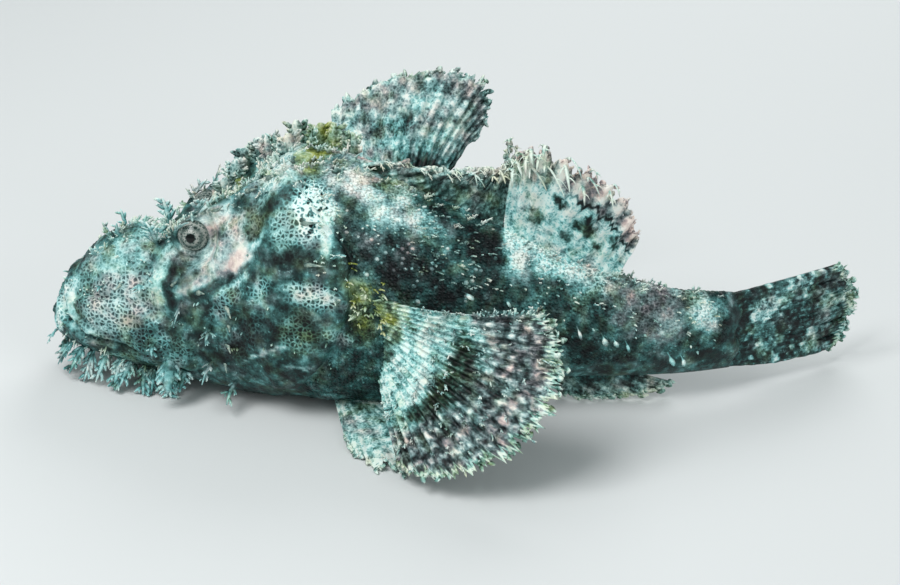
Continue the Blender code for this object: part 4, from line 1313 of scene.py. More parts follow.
    def caudal(self) -> RayFin:
        """Plans the tail fin.

        Returns:
            The fin.
        """
        share = np.linspace(-1, 1, self.tail_rays)
        level = (smooth_curve(LOFT.top, LOFT.tail_base) + smooth_curve(LOFT.bottom, LOFT.tail_base)) / 2
        reach = self.tail_reach * (1 - 0.16 * share**2)
        base_x = np.full_like(share, LOFT.tail_base - self.sunk)
        roots = np.stack([base_x, 0 * share, level + 14 * share], -1)
        ripple = 0.8 * np.cos(np.arange(self.tail_rays) * math.pi)
        tips = np.stack([LOFT.tail_base + reach, ripple, 23 + 18 * share], -1)
        knees = (roots + tips) / 2 + np.stack([0 * share, 0 * share, 2.5 * share], -1)
        look = FinLook(inner=(0.42, 0, 0, 0.3), outer=(0.28, 0.1, 0, -0.4), margin=(0.72, 0, 0.25, 0),
                       root=(0.24, 0, 0, -0.2), turn=0.4, wander=0.4, ray_lift=0.24, joint=5.0,
                       joint_depth=0.24, fleck=0.42, root_reach=0.2)
        marks = (Mark(9, 0.3, 2.6, 0.12, 0.56, 0.15, 0, 0.5), Mark(10.5, 0.6, 1.6, 0.12, 0.52, 0.1, 0, 0.4),
                 Mark(5, 0.55, 2.4, 0.14, 0.2, 0.1, 0, -0.4), Mark(2, 0.72, 1.4, 0.1, 0.42, 0.1, 0.1, 0.2),
                 Mark(11.2, 0.25, 1.2, 0.12, 0.25, 0.1), Mark(7, 0.78, 1.8, 0.1, 0.46, 0.2, 0.1, 0.2))
        return RayFin("caudal_fin", roots, knees, tips, ray_width=1.8, web_width=0.7, notch=0.05,
                      root_width=3.2, look=look, rows=100, between=14, frill=0.04, ray_share=0.16,
                      marks=marks)

    def near_pectoral(self) -> RayFin:
        """Plans the great fan on the left side, which spreads down to the floor.

        Returns:
            The fin.
        """
        roots = interpolate(((20, -27.5, 51), (23, -26.5, 38), (22, -20, 20)), self.fan_rays)
        margin = ((84, -50, 62), (90, -58, 54), (92, -64, 45), (89, -69, 35), (82, -72, 25), (72, -75, 17),
                  (60, -76, 11), (47, -73, 7), (37, -65, 5))
        tips = interpolate(margin, self.fan_rays)
        pushes = interpolate(((0, -7, -4), (0, -7, 1), (0, -7, 2), (0, -7, 2)), self.fan_rays)
        look = FinLook(inner=(0.76, 0, 0.05, 0.4), outer=(0.4, 0.6, 0, -0.1), margin=(0.8, 0.05, 0.3, 0),
                       root=(0.26, 0, 0.3, 0), turn=0.55, wander=0.3, ray_lift=0.5, joint=5.2,
                       joint_depth=0.5)
        marks = (Mark(2.0, 0.08, 3.0, 0.1, 0.55, 0, 1, 0.2), Mark(9.0, 0.5, 6.0, 0.07, 0.14, 0, 0.3, -0.2))
        return RayFin("left_pectoral_fin", roots, 0.45 * roots + 0.55 * tips + pushes, tips, ray_width=2.4,
                      web_width=0.8, notch=0.06, root_width=4.4, look=look, fold=0.6, frill=0.04,
                      ray_share=0.2, bent=False, marks=marks)

    def far_pectoral(self) -> RayFin:
        """Plans the great fan on the right side, which stands up behind the nape.

        Returns:
            The fin.
        """
        roots = interpolate(((20, 27, 57), (23, 26.5, 40), (22, 20, 20)), self.fan_rays)
        margin = ((-9, 60, 83), (4, 64, 91), (20, 67, 97), (36, 69, 98), (48, 70, 93), (50, 70, 84),
                  (47, 68, 75), (40, 66, 68), (31, 62, 63))
        tips = interpolate(margin, self.fan_rays)
        pushes = interpolate(((-12, 6, -3), (-10, 8, 1), (-8, 9, 3), (-8, 9, 3)), self.fan_rays)
        look = FinLook(inner=(0.76, 0, 0, 0.35), outer=(0.6, 0.4, 0, 0.35), margin=(0.66, 0.2, 0.1, 0),
                       root=(0.5, 0, 0, 0.3), turn=0.62, wander=0.5, ray_lift=0.14, joint=5.2,
                       joint_depth=0.14, rim=0.03)
        # The first two marks are painted shade: they darken the lower rays and the inner part of the middle
        # rays to dark teal, as if in shadow, so that only the upper part reads as a pale leaf.
        marks = (Mark(16.5, 0.55, 4.5, 0.3, 0.12, 0, 0, -0.2), Mark(10, 0.35, 4.5, 0.16, 0.16, 0, 0, -0.2),
                 Mark(9, 0.9, 3, 0.06, 0.34, 0.3, 0, 0.3), Mark(4, 0.62, 2, 0.07, 0.36, 0, 0, 0.5))
        return RayFin("right_pectoral_fin", roots, 0.45 * roots + 0.55 * tips + pushes, tips, ray_width=2.4,
                      web_width=0.8, notch=0.03, root_width=4.4, look=look, fold=0.6, frill=0.02,
                      ray_share=0.26, bent=False, marks=marks)

    def pelvic(self, side: Side) -> RayFin:
        """Plans a fin under the belly that lies on the floor.

        Args:
            side: Its side.

        Returns:
            The fin.
        """
        margin = {
            Side.LEFT: ((12, -40, 1), (20, -55, 1), (32, -62, 1), (43, -57, 1), (49, -45, 1)),
            Side.RIGHT: ((20, 42, 1), (34, 50, 1), (45, 45, 1), (50, 35, 1)),
        }[side]
        base = ((2, 11, 4.5), (7, 10, 4.5), (11, 9, 4.5))
        roots = interpolate(base, self.pelvic_rays) * (1, side.value, 1)
        tips = interpolate(margin, self.pelvic_rays)
        knees = (roots + tips) / 2 + (0, 0, 0.8)
        look = FinLook(inner=(0.5, 0.1, 0.1, 0.2), outer=(0.7, 0.1, 0.05, 0.4), margin=(0.88, 0.1, 0.2, 0),
                       root=(0.25, 0.1, 0.1, 0), joint=4.5, joint_depth=0.25, rim=0.06)
        return RayFin(side.name.lower() + "_pelvic_fin", roots, knees, tips, ray_width=1.9, web_width=0.8,
                      notch=0.1, root_width=3.0, look=look, rows=70, between=16, ray_share=0.18, bent=False)


@dataclass
class Eye:
    """A glassy eyeball with its iris and pupil."""

    side: Side
    socket: Socket = Socket()
    cornea: float = 0.7
    cornea_spread: float = 3.2

    def build(self) -> bpy.types.Object:
        """Makes the ball with a low cornea.

        Returns:
            The piece.
        """
        bpy.ops.object.select_all(action="DESELECT")
        radius = self.socket.radius * MM
        bpy.ops.mesh.primitive_uv_sphere_add(segments=64, ring_count=40, radius=radius)
        ball = bpy.context.object
        ball.name = self.side.name.lower() + "_eyeball"
        points = np.array([v.co for v in ball.data.vertices]) / MM
        away = np.linalg.norm(points[:, :2], axis=1)
        bulge = self.cornea * np.exp(-(away / self.cornea_spread) ** 2)
        points[:, 2] += np.where(points[:, 2] > 0, bulge, 0)
        store = ball.data.attributes.new("away", "FLOAT", "POINT")
        store.data.foreach_set("value", np.where(points[:, 2] > 0, away, 9).astype(np.float32))
        ball.data.vertices.foreach_set("co", (points * MM).astype(np.float32).ravel())
        x, y, z = self.socket.centre
        place = Matrix.Translation(Vector((x, self.side.value * y, z)) * MM)
        ball.data.transform(place @ Matrix.Rotation(-self.side.value * self.socket.tilt, 4, "X"))
        ball.data.uv_layers[0].name = "OFBake"
        bpy.ops.object.shade_smooth()
        return ball


def add_node(tree: bpy.types.NodeTree, kind: str, settings: dict | None = None,
             inputs: dict | None = None, stops: Stops = ()) -> bpy.types.Node:
    """Adds a node with its settings and links.

    Args:
        tree: The material's node tree.
        kind: Type of the node.
        settings: Its properties by name.
        inputs: Its sockets by name or number, each a value or another node's socket.
        stops: Places and sRGB colours of its ramp, in rising order, if it has one.

    Returns:
        The new node.
    """
    node = tree.nodes.new(kind)
    for name, value in (settings or {}).items():
        setattr(node, name, value)
    for name, value in (inputs or {}).items():
        if isinstance(value, bpy.types.NodeSocket):
            tree.links.new(value, node.inputs[name])
        else:
            node.inputs[name].default_value = value
    for k, (place, colour) in enumerate(stops):
        band = node.color_ramp.elements
        element = band[k] if k < 2 else band.new(place)
        element.position = place
        element.color = (*linear(colour), 1)
    return node


def new_material(name: str, roughness: float, ior: float) -> tuple[bpy.types.Material, bpy.types.Node]:
    """Makes a material with a node tree.

    Args:
        name: The finish's name.
        roughness: Roughness all over it.
        ior: Refractive index of its surface.

    Returns:
        The material and its shader.
    """
    material = bpy.data.materials.new(name)
    material.use_nodes = True
    shader = material.node_tree.nodes["Principled BSDF"]
    shader.inputs["Roughness"].default_value = roughness
    shader.inputs["IOR"].default_value = ior
    return material, shader


# Live fish skin is soft and wet: a thin slime of about 1.34 lies over pigment, so it has a
# weak, broken gloss and shows its colour cells in full. On this fish they make a honeycomb
# of about 1.6 mm, blotches of 3 to 4 mm and clouds of about a centimetre.
@dataclass(frozen=True)
class MottledHide:
    """Fish skin under thin slime, mottled from dark teal to near white, pink or moss green.

    tone, pink, moss and net come from the mesh; the finer mottling is noise of fixed sizes
    in millimetres.
    """

    name: str
    cell: float = 1.6
    warp: float = 2.4
    warp_reach: float = 1.3
    blotch: float = 3.6
    speck: float = 1.2
    cloud: float = 9.0
    spot: float = 3.2
    tinge: float = 6.5
    grain: float = 0.7
    net_depth: float = 0.28
    mottle_depth: float = 0.5
    cloud_depth: float = 0.36
    roughness: float = 0.5
    bump: float = 0.3
    teal: Stops = ((0.0, "#040E10"), (0.2, "#133130"), (0.4, "#34615F"), (0.6, "#65A1A1"),
                   (0.8, "#A2D9D8"), (1.0, "#E0F5F0"))
    pink: Stops = ((0.0, "#0C0E12"), (0.25, "#3E4548"), (0.5, "#87868A"), (0.72, "#C4B0AC"),
                   (1.0, "#F2E4DA"))
    moss: Stops = ((0.0, "#141E0C"), (0.3, "#4E5C22"), (0.6, "#8E9A44"), (1.0, "#DCDFB4"))

    def material(self) -> bpy.types.Material:
        """Makes the material.

        Returns:
            The material, which reads tone, pink, moss and net from the mesh.
        """
        material, shader = new_material(self.name, self.roughness, 1.34)
        tree = material.node_tree
        add = partial(add_node, tree)
        place = add("ShaderNodeTexCoord").outputs["Object"]
        tone, pink, moss, net = (add("ShaderNodeAttribute", {"attribute_name": name}).outputs["Fac"]
                                 for name in LOOKS)
        wobble = add("ShaderNodeTexNoise", None,
                     {"Vector": place, "Scale": 1 / (self.warp * MM), "Detail": 2.0})
        moved = add("ShaderNodeVectorMath", {"operation": "MULTIPLY_ADD"},
                    {0: wobble.outputs["Color"], 1: (self.warp_reach * MM,) * 3, 2: place})
        cells = add("ShaderNodeTexVoronoi", {"feature": "DISTANCE_TO_EDGE"},
                    {"Vector": moved.outputs["Vector"], "Scale": 1 / (self.cell * MM), "Randomness": 0.7})
        dots = add("ShaderNodeMapRange", {"interpolation_type": "SMOOTHSTEP"},
                   {"Value": cells.outputs["Distance"], "From Min": 0.04, "From Max": 0.32,
                    "To Min": self.net_depth * 0.8, "To Max": -self.net_depth})
        spotty = add("ShaderNodeMath", {"operation": "SUBTRACT", "use_clamp": True}, {0: net, 1: 1.0})
        comb = add("ShaderNodeMapRange", None, {"Value": net, "To Max": 1.0})
        combed = add("ShaderNodeMath", {"operation": "MULTIPLY_ADD"},
                     {0: spotty.outputs["Value"], 1: 0.4, 2: comb.outputs["Result"]})
        netted = add("ShaderNodeMath", {"operation": "MULTIPLY"},
                     {0: dots.outputs["Result"], 1: combed.outputs["Value"]})
        blotches = add("ShaderNodeTexNoise", None,
                       {"Vector": place, "Scale": 1 / (self.blotch * MM), "Detail": 6.0, "Roughness": 0.66})
        mottle = add("ShaderNodeMapRange", None,
                     {"Value": blotches.outputs["Fac"], "From Min": 0.3, "From Max": 0.7,
                      "To Min": -self.mottle_depth / 2, "To Max": self.mottle_depth / 2})
        clouds = add("ShaderNodeTexNoise", None,
                     {"Vector": place, "Scale": 1 / (self.cloud * MM), "Detail": 2.0, "Roughness": 0.6})
        broad = add("ShaderNodeMapRange", None,
                    {"Value": clouds.outputs["Fac"], "From Min": 0.34, "From Max": 0.66,
                     "To Min": -self.cloud_depth / 2, "To Max": self.cloud_depth / 2})
        calm = add("ShaderNodeMapRange", None,
                   {"Value": net, "From Min": 0.3, "From Max": 1.0, "To Min": 1.0, "To Max": 0.6})
        patchy = add("ShaderNodeMath", {"operation": "ADD"},
                     {0: mottle.outputs["Result"], 1: broad.outputs["Result"]})
        calmed = add("ShaderNodeMath", {"operation": "MULTIPLY"},
                     {0: patchy.outputs["Value"], 1: calm.outputs["Result"]})
        specks = add("ShaderNodeTexNoise", None,
                     {"Vector": place, "Scale": 1 / (self.speck * MM), "Detail": 2.0})
        sparks = add("ShaderNodeMapRange", None,
                     {"Value": specks.outputs["Fac"], "From Min": 0.64, "From Max": 0.74,
                      "To Min": 0.0, "To Max": 0.24})
        spots = add("ShaderNodeTexVoronoi", {"feature": "F1"},
                    {"Vector": moved.outputs["Vector"], "Scale": 1 / (self.spot * MM)})
        ringed = add("ShaderNodeMapRange", {"interpolation_type": "SMOOTHSTEP"},
                     {"Value": spots.outputs["Distance"], "From Min": 0.24, "From Max": 0.44,
                      "To Min": -0.75, "To Max": 0.1})
        spotted = add("ShaderNodeMath", {"operation": "MULTIPLY"},
                      {0: ringed.outputs["Result"], 1: spotty.outputs["Value"]})
        starry = add("ShaderNodeMath", {"operation": "MULTIPLY", "use_clamp": True}, {0: net, 1: -1.0})
        stars = add("ShaderNodeMapRange", {"interpolation_type": "SMOOTHSTEP"},
                    {"Value": spots.outputs["Distance"], "From Min": 0.1, "From Max": 0.24,
                     "To Min": 0.45, "To Max": -0.02})
        starred = add("ShaderNodeMath", {"operation": "MULTIPLY"},
                      {0: stars.outputs["Result"], 1: starry.outputs["Value"]})
        value = tone
        for part in (netted.outputs["Value"], calmed.outputs["Value"], sparks.outputs["Result"],
                     spotted.outputs["Value"], starred.outputs["Value"]):
            value = add("ShaderNodeMath", {"operation": "ADD"}, {0: value, 1: part}).outputs["Value"]
        colour = add("ShaderNodeValToRGB", None, {"Fac": value}, self.teal).outputs["Color"]
        for share, stops, offset, tinge in ((pink, self.pink, 0.0, 0.5), (moss, self.moss, 40.0 * MM, 0.3)):
            drift = add("ShaderNodeVectorMath", {"operation": "ADD"}, {0: place, 1: (offset,) * 3})
            uneven = add("ShaderNodeTexNoise", None,
                         {"Vector": drift.outputs["Vector"], "Scale": 1 / (self.tinge * MM), "Detail": 3.0})
            weight = add("ShaderNodeMapRange", None,
                         {"Value": uneven.outputs["Fac"], "From Min": 0.35, "From Max": 0.65,
                          "To Min": 0.5, "To Max": 1.15})
            tinged = add("ShaderNodeMapRange", None,
                         {"Value": uneven.outputs["Fac"], "From Min": 0.5, "From Max": 0.75,
                          "To Min": 0.0, "To Max": tinge})
            mixed = add("ShaderNodeMath", {"operation": "MULTIPLY_ADD", "use_clamp": True},
                        {0: share, 1: weight.outputs["Result"], 2: tinged.outputs["Result"]})
            ramp = add("ShaderNodeValToRGB", None, {"Fac": value}, stops)
            blend = add("ShaderNodeMix", {"data_type": "RGBA"},
                        {0: mixed.outputs["Value"], 6: colour, 7: ramp.outputs["Color"]})
            colour = blend.outputs[2]
        tree.links.new(colour, shader.inputs["Base Color"])
        fine = add("ShaderNodeTexNoise", None,
                   {"Vector": place, "Scale": 1 / (self.grain * MM), "Detail": 3.0})
        height = add("ShaderNodeMath", {"operation": "MULTIPLY_ADD"},
                     {0: cells.outputs["Distance"], 1: 0.8, 2: fine.outputs["Fac"]})
        bump = add("ShaderNodeBump", None,
                   {"Height": height.outputs["Value"], "Strength": 0.7, "Distance": self.bump * MM})
        tree.links.new(bump.outputs["Normal"], shader.inputs["Normal"])
        return material


# Bone under a thin sheath of skin lets light a little way in, so the points look pale and
# satin, and the sheath stains them green in patches of about 1.5 mm.
@dataclass(frozen=True)
class SpineHorn:
    """Pale sheathed bone of the head's spines, stained green in patches."""

    name: str = "horny_spine"
    grain: float = 1.5
    stops: Stops = ((0.3, "#36524E"), (0.5, "#7F988F"), (0.7, "#BDC6B6"))

    def material(self) -> bpy.types.Material:
        """Makes the material.

        Returns:
            The material, its grain a noise of fixed size.
        """
        material, shader = new_material(self.name, 0.45, 1.54)
        tree = material.node_tree
        add = partial(add_node, tree)
        place = add("ShaderNodeTexCoord").outputs["Object"]
        grain = add("ShaderNodeTexNoise", None,
                    {"Vector": place, "Scale": 1 / (self.grain * MM), "Detail": 3.0})
        ramp = add("ShaderNodeValToRGB", None, {"Fac": grain.outputs["Fac"]}, self.stops)
        tree.links.new(ramp.outputs["Color"], shader.inputs["Base Color"])
        return material


# The eye is a clear, wet cornea of about 1.38 over a camouflaged iris, so it has one sharp
# highlight, a dark ragged pupil, and pale lines round dark flecks that carry on the skin's.
@dataclass(frozen=True)
class GlassyEye:
    """Wet eye: ragged dark pupil, iris of pale lines and rings, clear glossy surface."""

    name: str = "glassy_eye"
    grain: float = 0.9
    fleck: float = 1.1
    ring: float = 2.4
    pupil: float = 1.5
    stops: Stops = ((0.0, "#060D0D"), (0.25, "#2A3A37"), (0.5, "#5C6C67"), (0.75, "#979D97"),
                    (1.0, "#D2CFC6"))

    def material(self) -> bpy.types.Material:
        """Makes the material.

        Returns:
            The material, which reads from the mesh how far a point is from the pupil.
        """
        material, shader = new_material(self.name, 0.14, 1.38)
        tree = material.node_tree
        add = partial(add_node, tree)
        away = add("ShaderNodeAttribute", {"attribute_name": "away"}).outputs["Fac"]
        place = add("ShaderNodeTexCoord").outputs["Object"]
        grain = add("ShaderNodeTexNoise", None,
                    {"Vector": place, "Scale": 1 / (self.grain * MM), "Detail": 4.0})
        cells = add("ShaderNodeTexVoronoi", {"feature": "DISTANCE_TO_EDGE"},
                    {"Vector": place, "Scale": 1 / (self.fleck * MM)})
        lines = add("ShaderNodeMapRange", {"interpolation_type": "SMOOTHSTEP"},
                    {"Value": cells.outputs["Distance"], "From Min": 0.02, "From Max": 0.34,
                     "To Min": 0.5, "To Max": 0.16})
        ragged = add("ShaderNodeMath", {"operation": "ADD"}, {0: away, 1: grain.outputs["Fac"]})
        turn = add("ShaderNodeMath", {"operation": "MULTIPLY"},
                   {0: ragged.outputs["Value"], 1: 2 * math.pi / self.ring})
        wave = add("ShaderNodeMath", {"operation": "SINE"}, {0: turn.outputs["Value"]})
        ringed = add("ShaderNodeMath", {"operation": "MULTIPLY_ADD"},
                     {0: wave.outputs["Value"], 1: 0.16, 2: lines.outputs["Result"]})
        uneven = add("ShaderNodeMath", {"operation": "MULTIPLY_ADD"},
                     {0: grain.outputs["Fac"], 1: 0.3, 2: ringed.outputs["Value"]})
        iris = add("ShaderNodeMapRange", {"interpolation_type": "SMOOTHSTEP"},
                   {"Value": ragged.outputs["Value"], "From Min": self.pupil + 0.4,
                    "From Max": self.pupil + 1.0})
        share = add("ShaderNodeMath", {"operation": "MULTIPLY"},
                    {0: uneven.outputs["Value"], 1: iris.outputs["Result"]})
        ramp = add("ShaderNodeValToRGB", None, {"Fac": share.outputs["Value"]}, self.stops)
        tree.links.new(ramp.outputs["Color"], shader.inputs["Base Color"])
        return material


@dataclass(frozen=True)
class Studio:
    """Plain pale floor, soft lights and the camera.

    The camera's sizes are in millimetres, and each lamp has its place, size and power.
    """

    target: Point = (45, 0, 39.8)
    distance: float = 800.0
    azimuth: float = math.radians(8)
    elevation: float = math.radians(28)
    lens: float = 88.0
    floor_width: float = 6.0
    floor_colour: str = "#D5D8D8"
    air_colour: str = "#C9D2D4"
    air_strength: float = 0.55
    lamps: tuple[tuple[str, Point, float, float], ...] = (
        ("key", (-0.35, -0.45, 0.95), 0.55, 9.0), ("fill", (0.9, -0.6, 0.5), 0.7, 3.0),
        ("back", (0.2, 0.8, 0.7), 0.6, 4.0))

    def lay_floor(self) -> None:
        """Lays the floor, of matt paint that takes a soft shadow and gives back no gloss."""
        bpy.ops.object.select_all(action="DESELECT")
        bpy.ops.mesh.primitive_plane_add(size=self.floor_width, location=(0, 0, -0.0005))
        floor = bpy.context.object
        floor.name = "studio_floor"
        material, shader = new_material("pale_matt_paint", 0.9, 1.5)
        shader.inputs["Base Color"].default_value = (*linear(self.floor_colour), 1)
        floor.data.materials.append(material)

    def set_camera(self) -> None:
        """Sets the camera at the photograph's viewing angle."""
        back = Vector((math.sin(self.azimuth) * math.cos(self.elevation),
                       -math.cos(self.azimuth) * math.cos(self.elevation), math.sin(self.elevation)))
        camera = bpy.data.objects.new("camera", bpy.data.cameras.new("camera"))
        bpy.context.scene.collection.objects.link(camera)
        camera.data.lens = self.lens
        camera.data.clip_start = 0.01
        camera.location = Vector(self.target) * MM + back * self.distance * MM
        camera.rotation_euler = (-back).to_track_quat("-Z", "Y").to_euler()
        bpy.context.scene.camera = camera

    def hang_lamps(self) -> None:
        """Hangs the lamps, all turned to the fish, in evenly bright air."""
        for name, spot, size, power in self.lamps:
            light = bpy.data.lights.new(name, "AREA")
            light.size, light.energy = size, power
            lamp = bpy.data.objects.new(name, light)
            lamp.location = spot
            aim = Vector(self.target) * MM - Vector(spot)
            lamp.rotation_euler = aim.to_track_quat("-Z", "Y").to_euler()
            bpy.context.scene.collection.objects.link(lamp)
        world = bpy.data.worlds.new("studio_air")
        world.use_nodes = True
        air = world.node_tree.nodes["Background"]
        air.inputs["Color"].default_value = (*linear(self.air_colour), 1)
        air.inputs["Strength"].default_value = self.air_strength
        bpy.context.scene.world = world
        bpy.context.scene.view_settings.view_transform = "Standard"


# Patches of the skin, later ones over earlier.
MARKS = (
    Mark(-74, 30, 17, 17, 0.58, 0.35, 0, 0.9), Mark(-68, 8, 8, 7, 0.66, 0.05, 0.12, 0.5),
    Mark(-77, 13, 13, 7, 0.72, 0.05, 0.05, 0.35, 0.9), Mark(-88, 18, 4, 10, 0.38, 0.1, 0.1, 0.7, 0.8),
    Mark(-58, 27, 3, 11, 0.74, 0, 0.2, 0.2), Mark(-53, 28, 2, 14, 0.12, 0.1),
    Mark(-98, 15, 6, 9, 0.74, 0, 0, 0.8), Mark(-96, 25, 3, 3, 0.3, 0, 0, 0.6, 0.9),
    Mark(-93, 22, 2, 8, 0.95), Mark(-44, 19, 9, 8, 0.44, 0.55, 0.1, 0.4),
    Mark(-46, -5, 6, 5, 0.68, 0.5, 0, 0.3), Mark(-37, 14, 7, 6, 0.72, 0.6, 0, 0.3, 0.9),
    Mark(-55, 16, 3, 6, 0.66, 0.2, 0.1, 0.4, 0.9), Mark(-38, -6, 4, 4, 0.62, 0.1, 0.3, 0.5),
    Mark(-29, 21, 5, 5, 0.6, 0.6, 0.1, 0.6), Mark(-35, 29, 10, 7, 0.68, 0.5, 0, 0.3),
    Mark(-27, 36, 6, 5, 0.9, 1), Mark(-40, 34, 10, 3, 0.74, 0.45, 0, 0.2),
    Mark(-29, 44, 7, 2, 0.8, 0.1, 0, 0.5, 0.9), Mark(-45, 41, 6, 3, 0.16, 0.2, 0, 0.1),
    Mark(-32, 49, 7, 4, 0.44, 0, 0, 0.9), Mark(-21, 25, 5, 7, 0.28, 0.2, 0.35, 0.5),
    Mark(-16, 23, 3, 3, 0.1, 0, 0.2), Mark(-20, 33, 3, 2, 0.8, 0, 0, 0.3),
    Mark(-1, 26, 7, 11, 0.88, 0.05, 0, 2.6), Mark(-10, 33, 5, 8, 0.5, 0.1, 0.1, 0.9),
    Mark(5, 30, 2, 11, 1, 0, 0, 0.3), Mark(-4, 43, 10, 3, 0.2, 0.4, 0.1, 0.2), Mark(-4, 51, 11, 2, 0.04),
    Mark(2, 55, 10, 5, 0.62, 0.2, 0, 1.4), Mark(-18, 51, 5, 5, 0.5, 0, 0, 0.9),
    Mark(-16, 6, 10, 14, 0.8, 0.3, 0, 0.6), Mark(-4, 4, 6, 7, 0.58, 0, 1, 0.2),
    Mark(-4, 5, 2, 2, 0.15, 0, 1), Mark(-35, -5, 3, 3, 0.55, 0, 0.9, 0.3),
    Mark(17, 48, 5, 5, 0.62, 0, 1, 0.3), Mark(19, 59, 5, 7, 0.34, 0, 0.7, 0.5),
    Mark(10, 69, 7, 3, 0.56, 0.2, 0.1, 0.8, 0.8), Mark(-24, 66, 13, 9, 0.18, 0.1, 0, 0.4),
    Mark(-4, 70, 7, 8, 0.26, 0, 0.25, 0.8), Mark(-18, 82, 11, 5, 0.16, 0, 0, 0.1),
    Mark(-18, 77, 10, 1, 0.8, 0.3, 0, 0.3, 0.8), Mark(-4, 85, 6, 1, 0.85, 0.3, 0, 0.2, 0.8),
    Mark(-62, 49, 9, 9, 0.32, 0, 0, 0.8), Mark(-50, 57, 5, 8, 0.42, 0, 0.05, 0.7),
    Mark(-80, 59, 13, 6, 0.4, 0, 0.2, 0.9), Mark(14, 9, 13, 8, 0.84, 0.7, 0, 0.2),
    Mark(22, 7, 4, 3, 0.22, 0, 0.5, 0.4), Mark(28, -5, 5, 9, 0.6, 0.2, 0.5, 0.6, 0.9),
    Mark(26, 16, 13, 9, 0.74, 0.2, 0, 0.25), Mark(40, 15, 6, 5, 0.56, 0.05, 0, 0.4, 0.9),
    Mark(14, 33, 6, 13, 0.2, 0.2, 0, -0.9), Mark(34, 33, 18, 11, 0.2, 0.25, 0, -0.9),
    Mark(44, 26, 10, 8, 0.4, 0, 0, -0.4, 0.8), Mark(59, 10, 7, 18, 0.12, 0.1, 0, -0.6),
    Mark(48, 41, 22, 5, 0.16, 0, 0, -0.5), Mark(84, 0, 13, 13, 0.8, 0, 0, 0.5),
    Mark(70, -6, 5, 11, 0.95, 0, 0, 0.4), Mark(100, -3, 7, 9, 0.72, 0.1, 0.1, 0.7),
    Mark(93, 16, 13, 5, 0.3, 0, 0, 0.4), Mark(116, 9, 13, 14, 0.46, 0.7, 0, 0.35),
    Mark(113, 18, 3, 3, 0.3, 1, 0, 0.3), Mark(132, -1, 6, 5, 0.3, 0.1, 0.1, 0.6, 0.8),
    Mark(137, 9, 6, 7, 0.84, 0.15, 0, 0.5), Mark(148, 16, 3, 12, 0.24, 0, 0, 0, 0.8),
    Mark(100, 35, 22, 6, 0.26), Mark(128, 25, 18, 5, 0.26),
)

NEAR, FAR = (-1,), (1,)
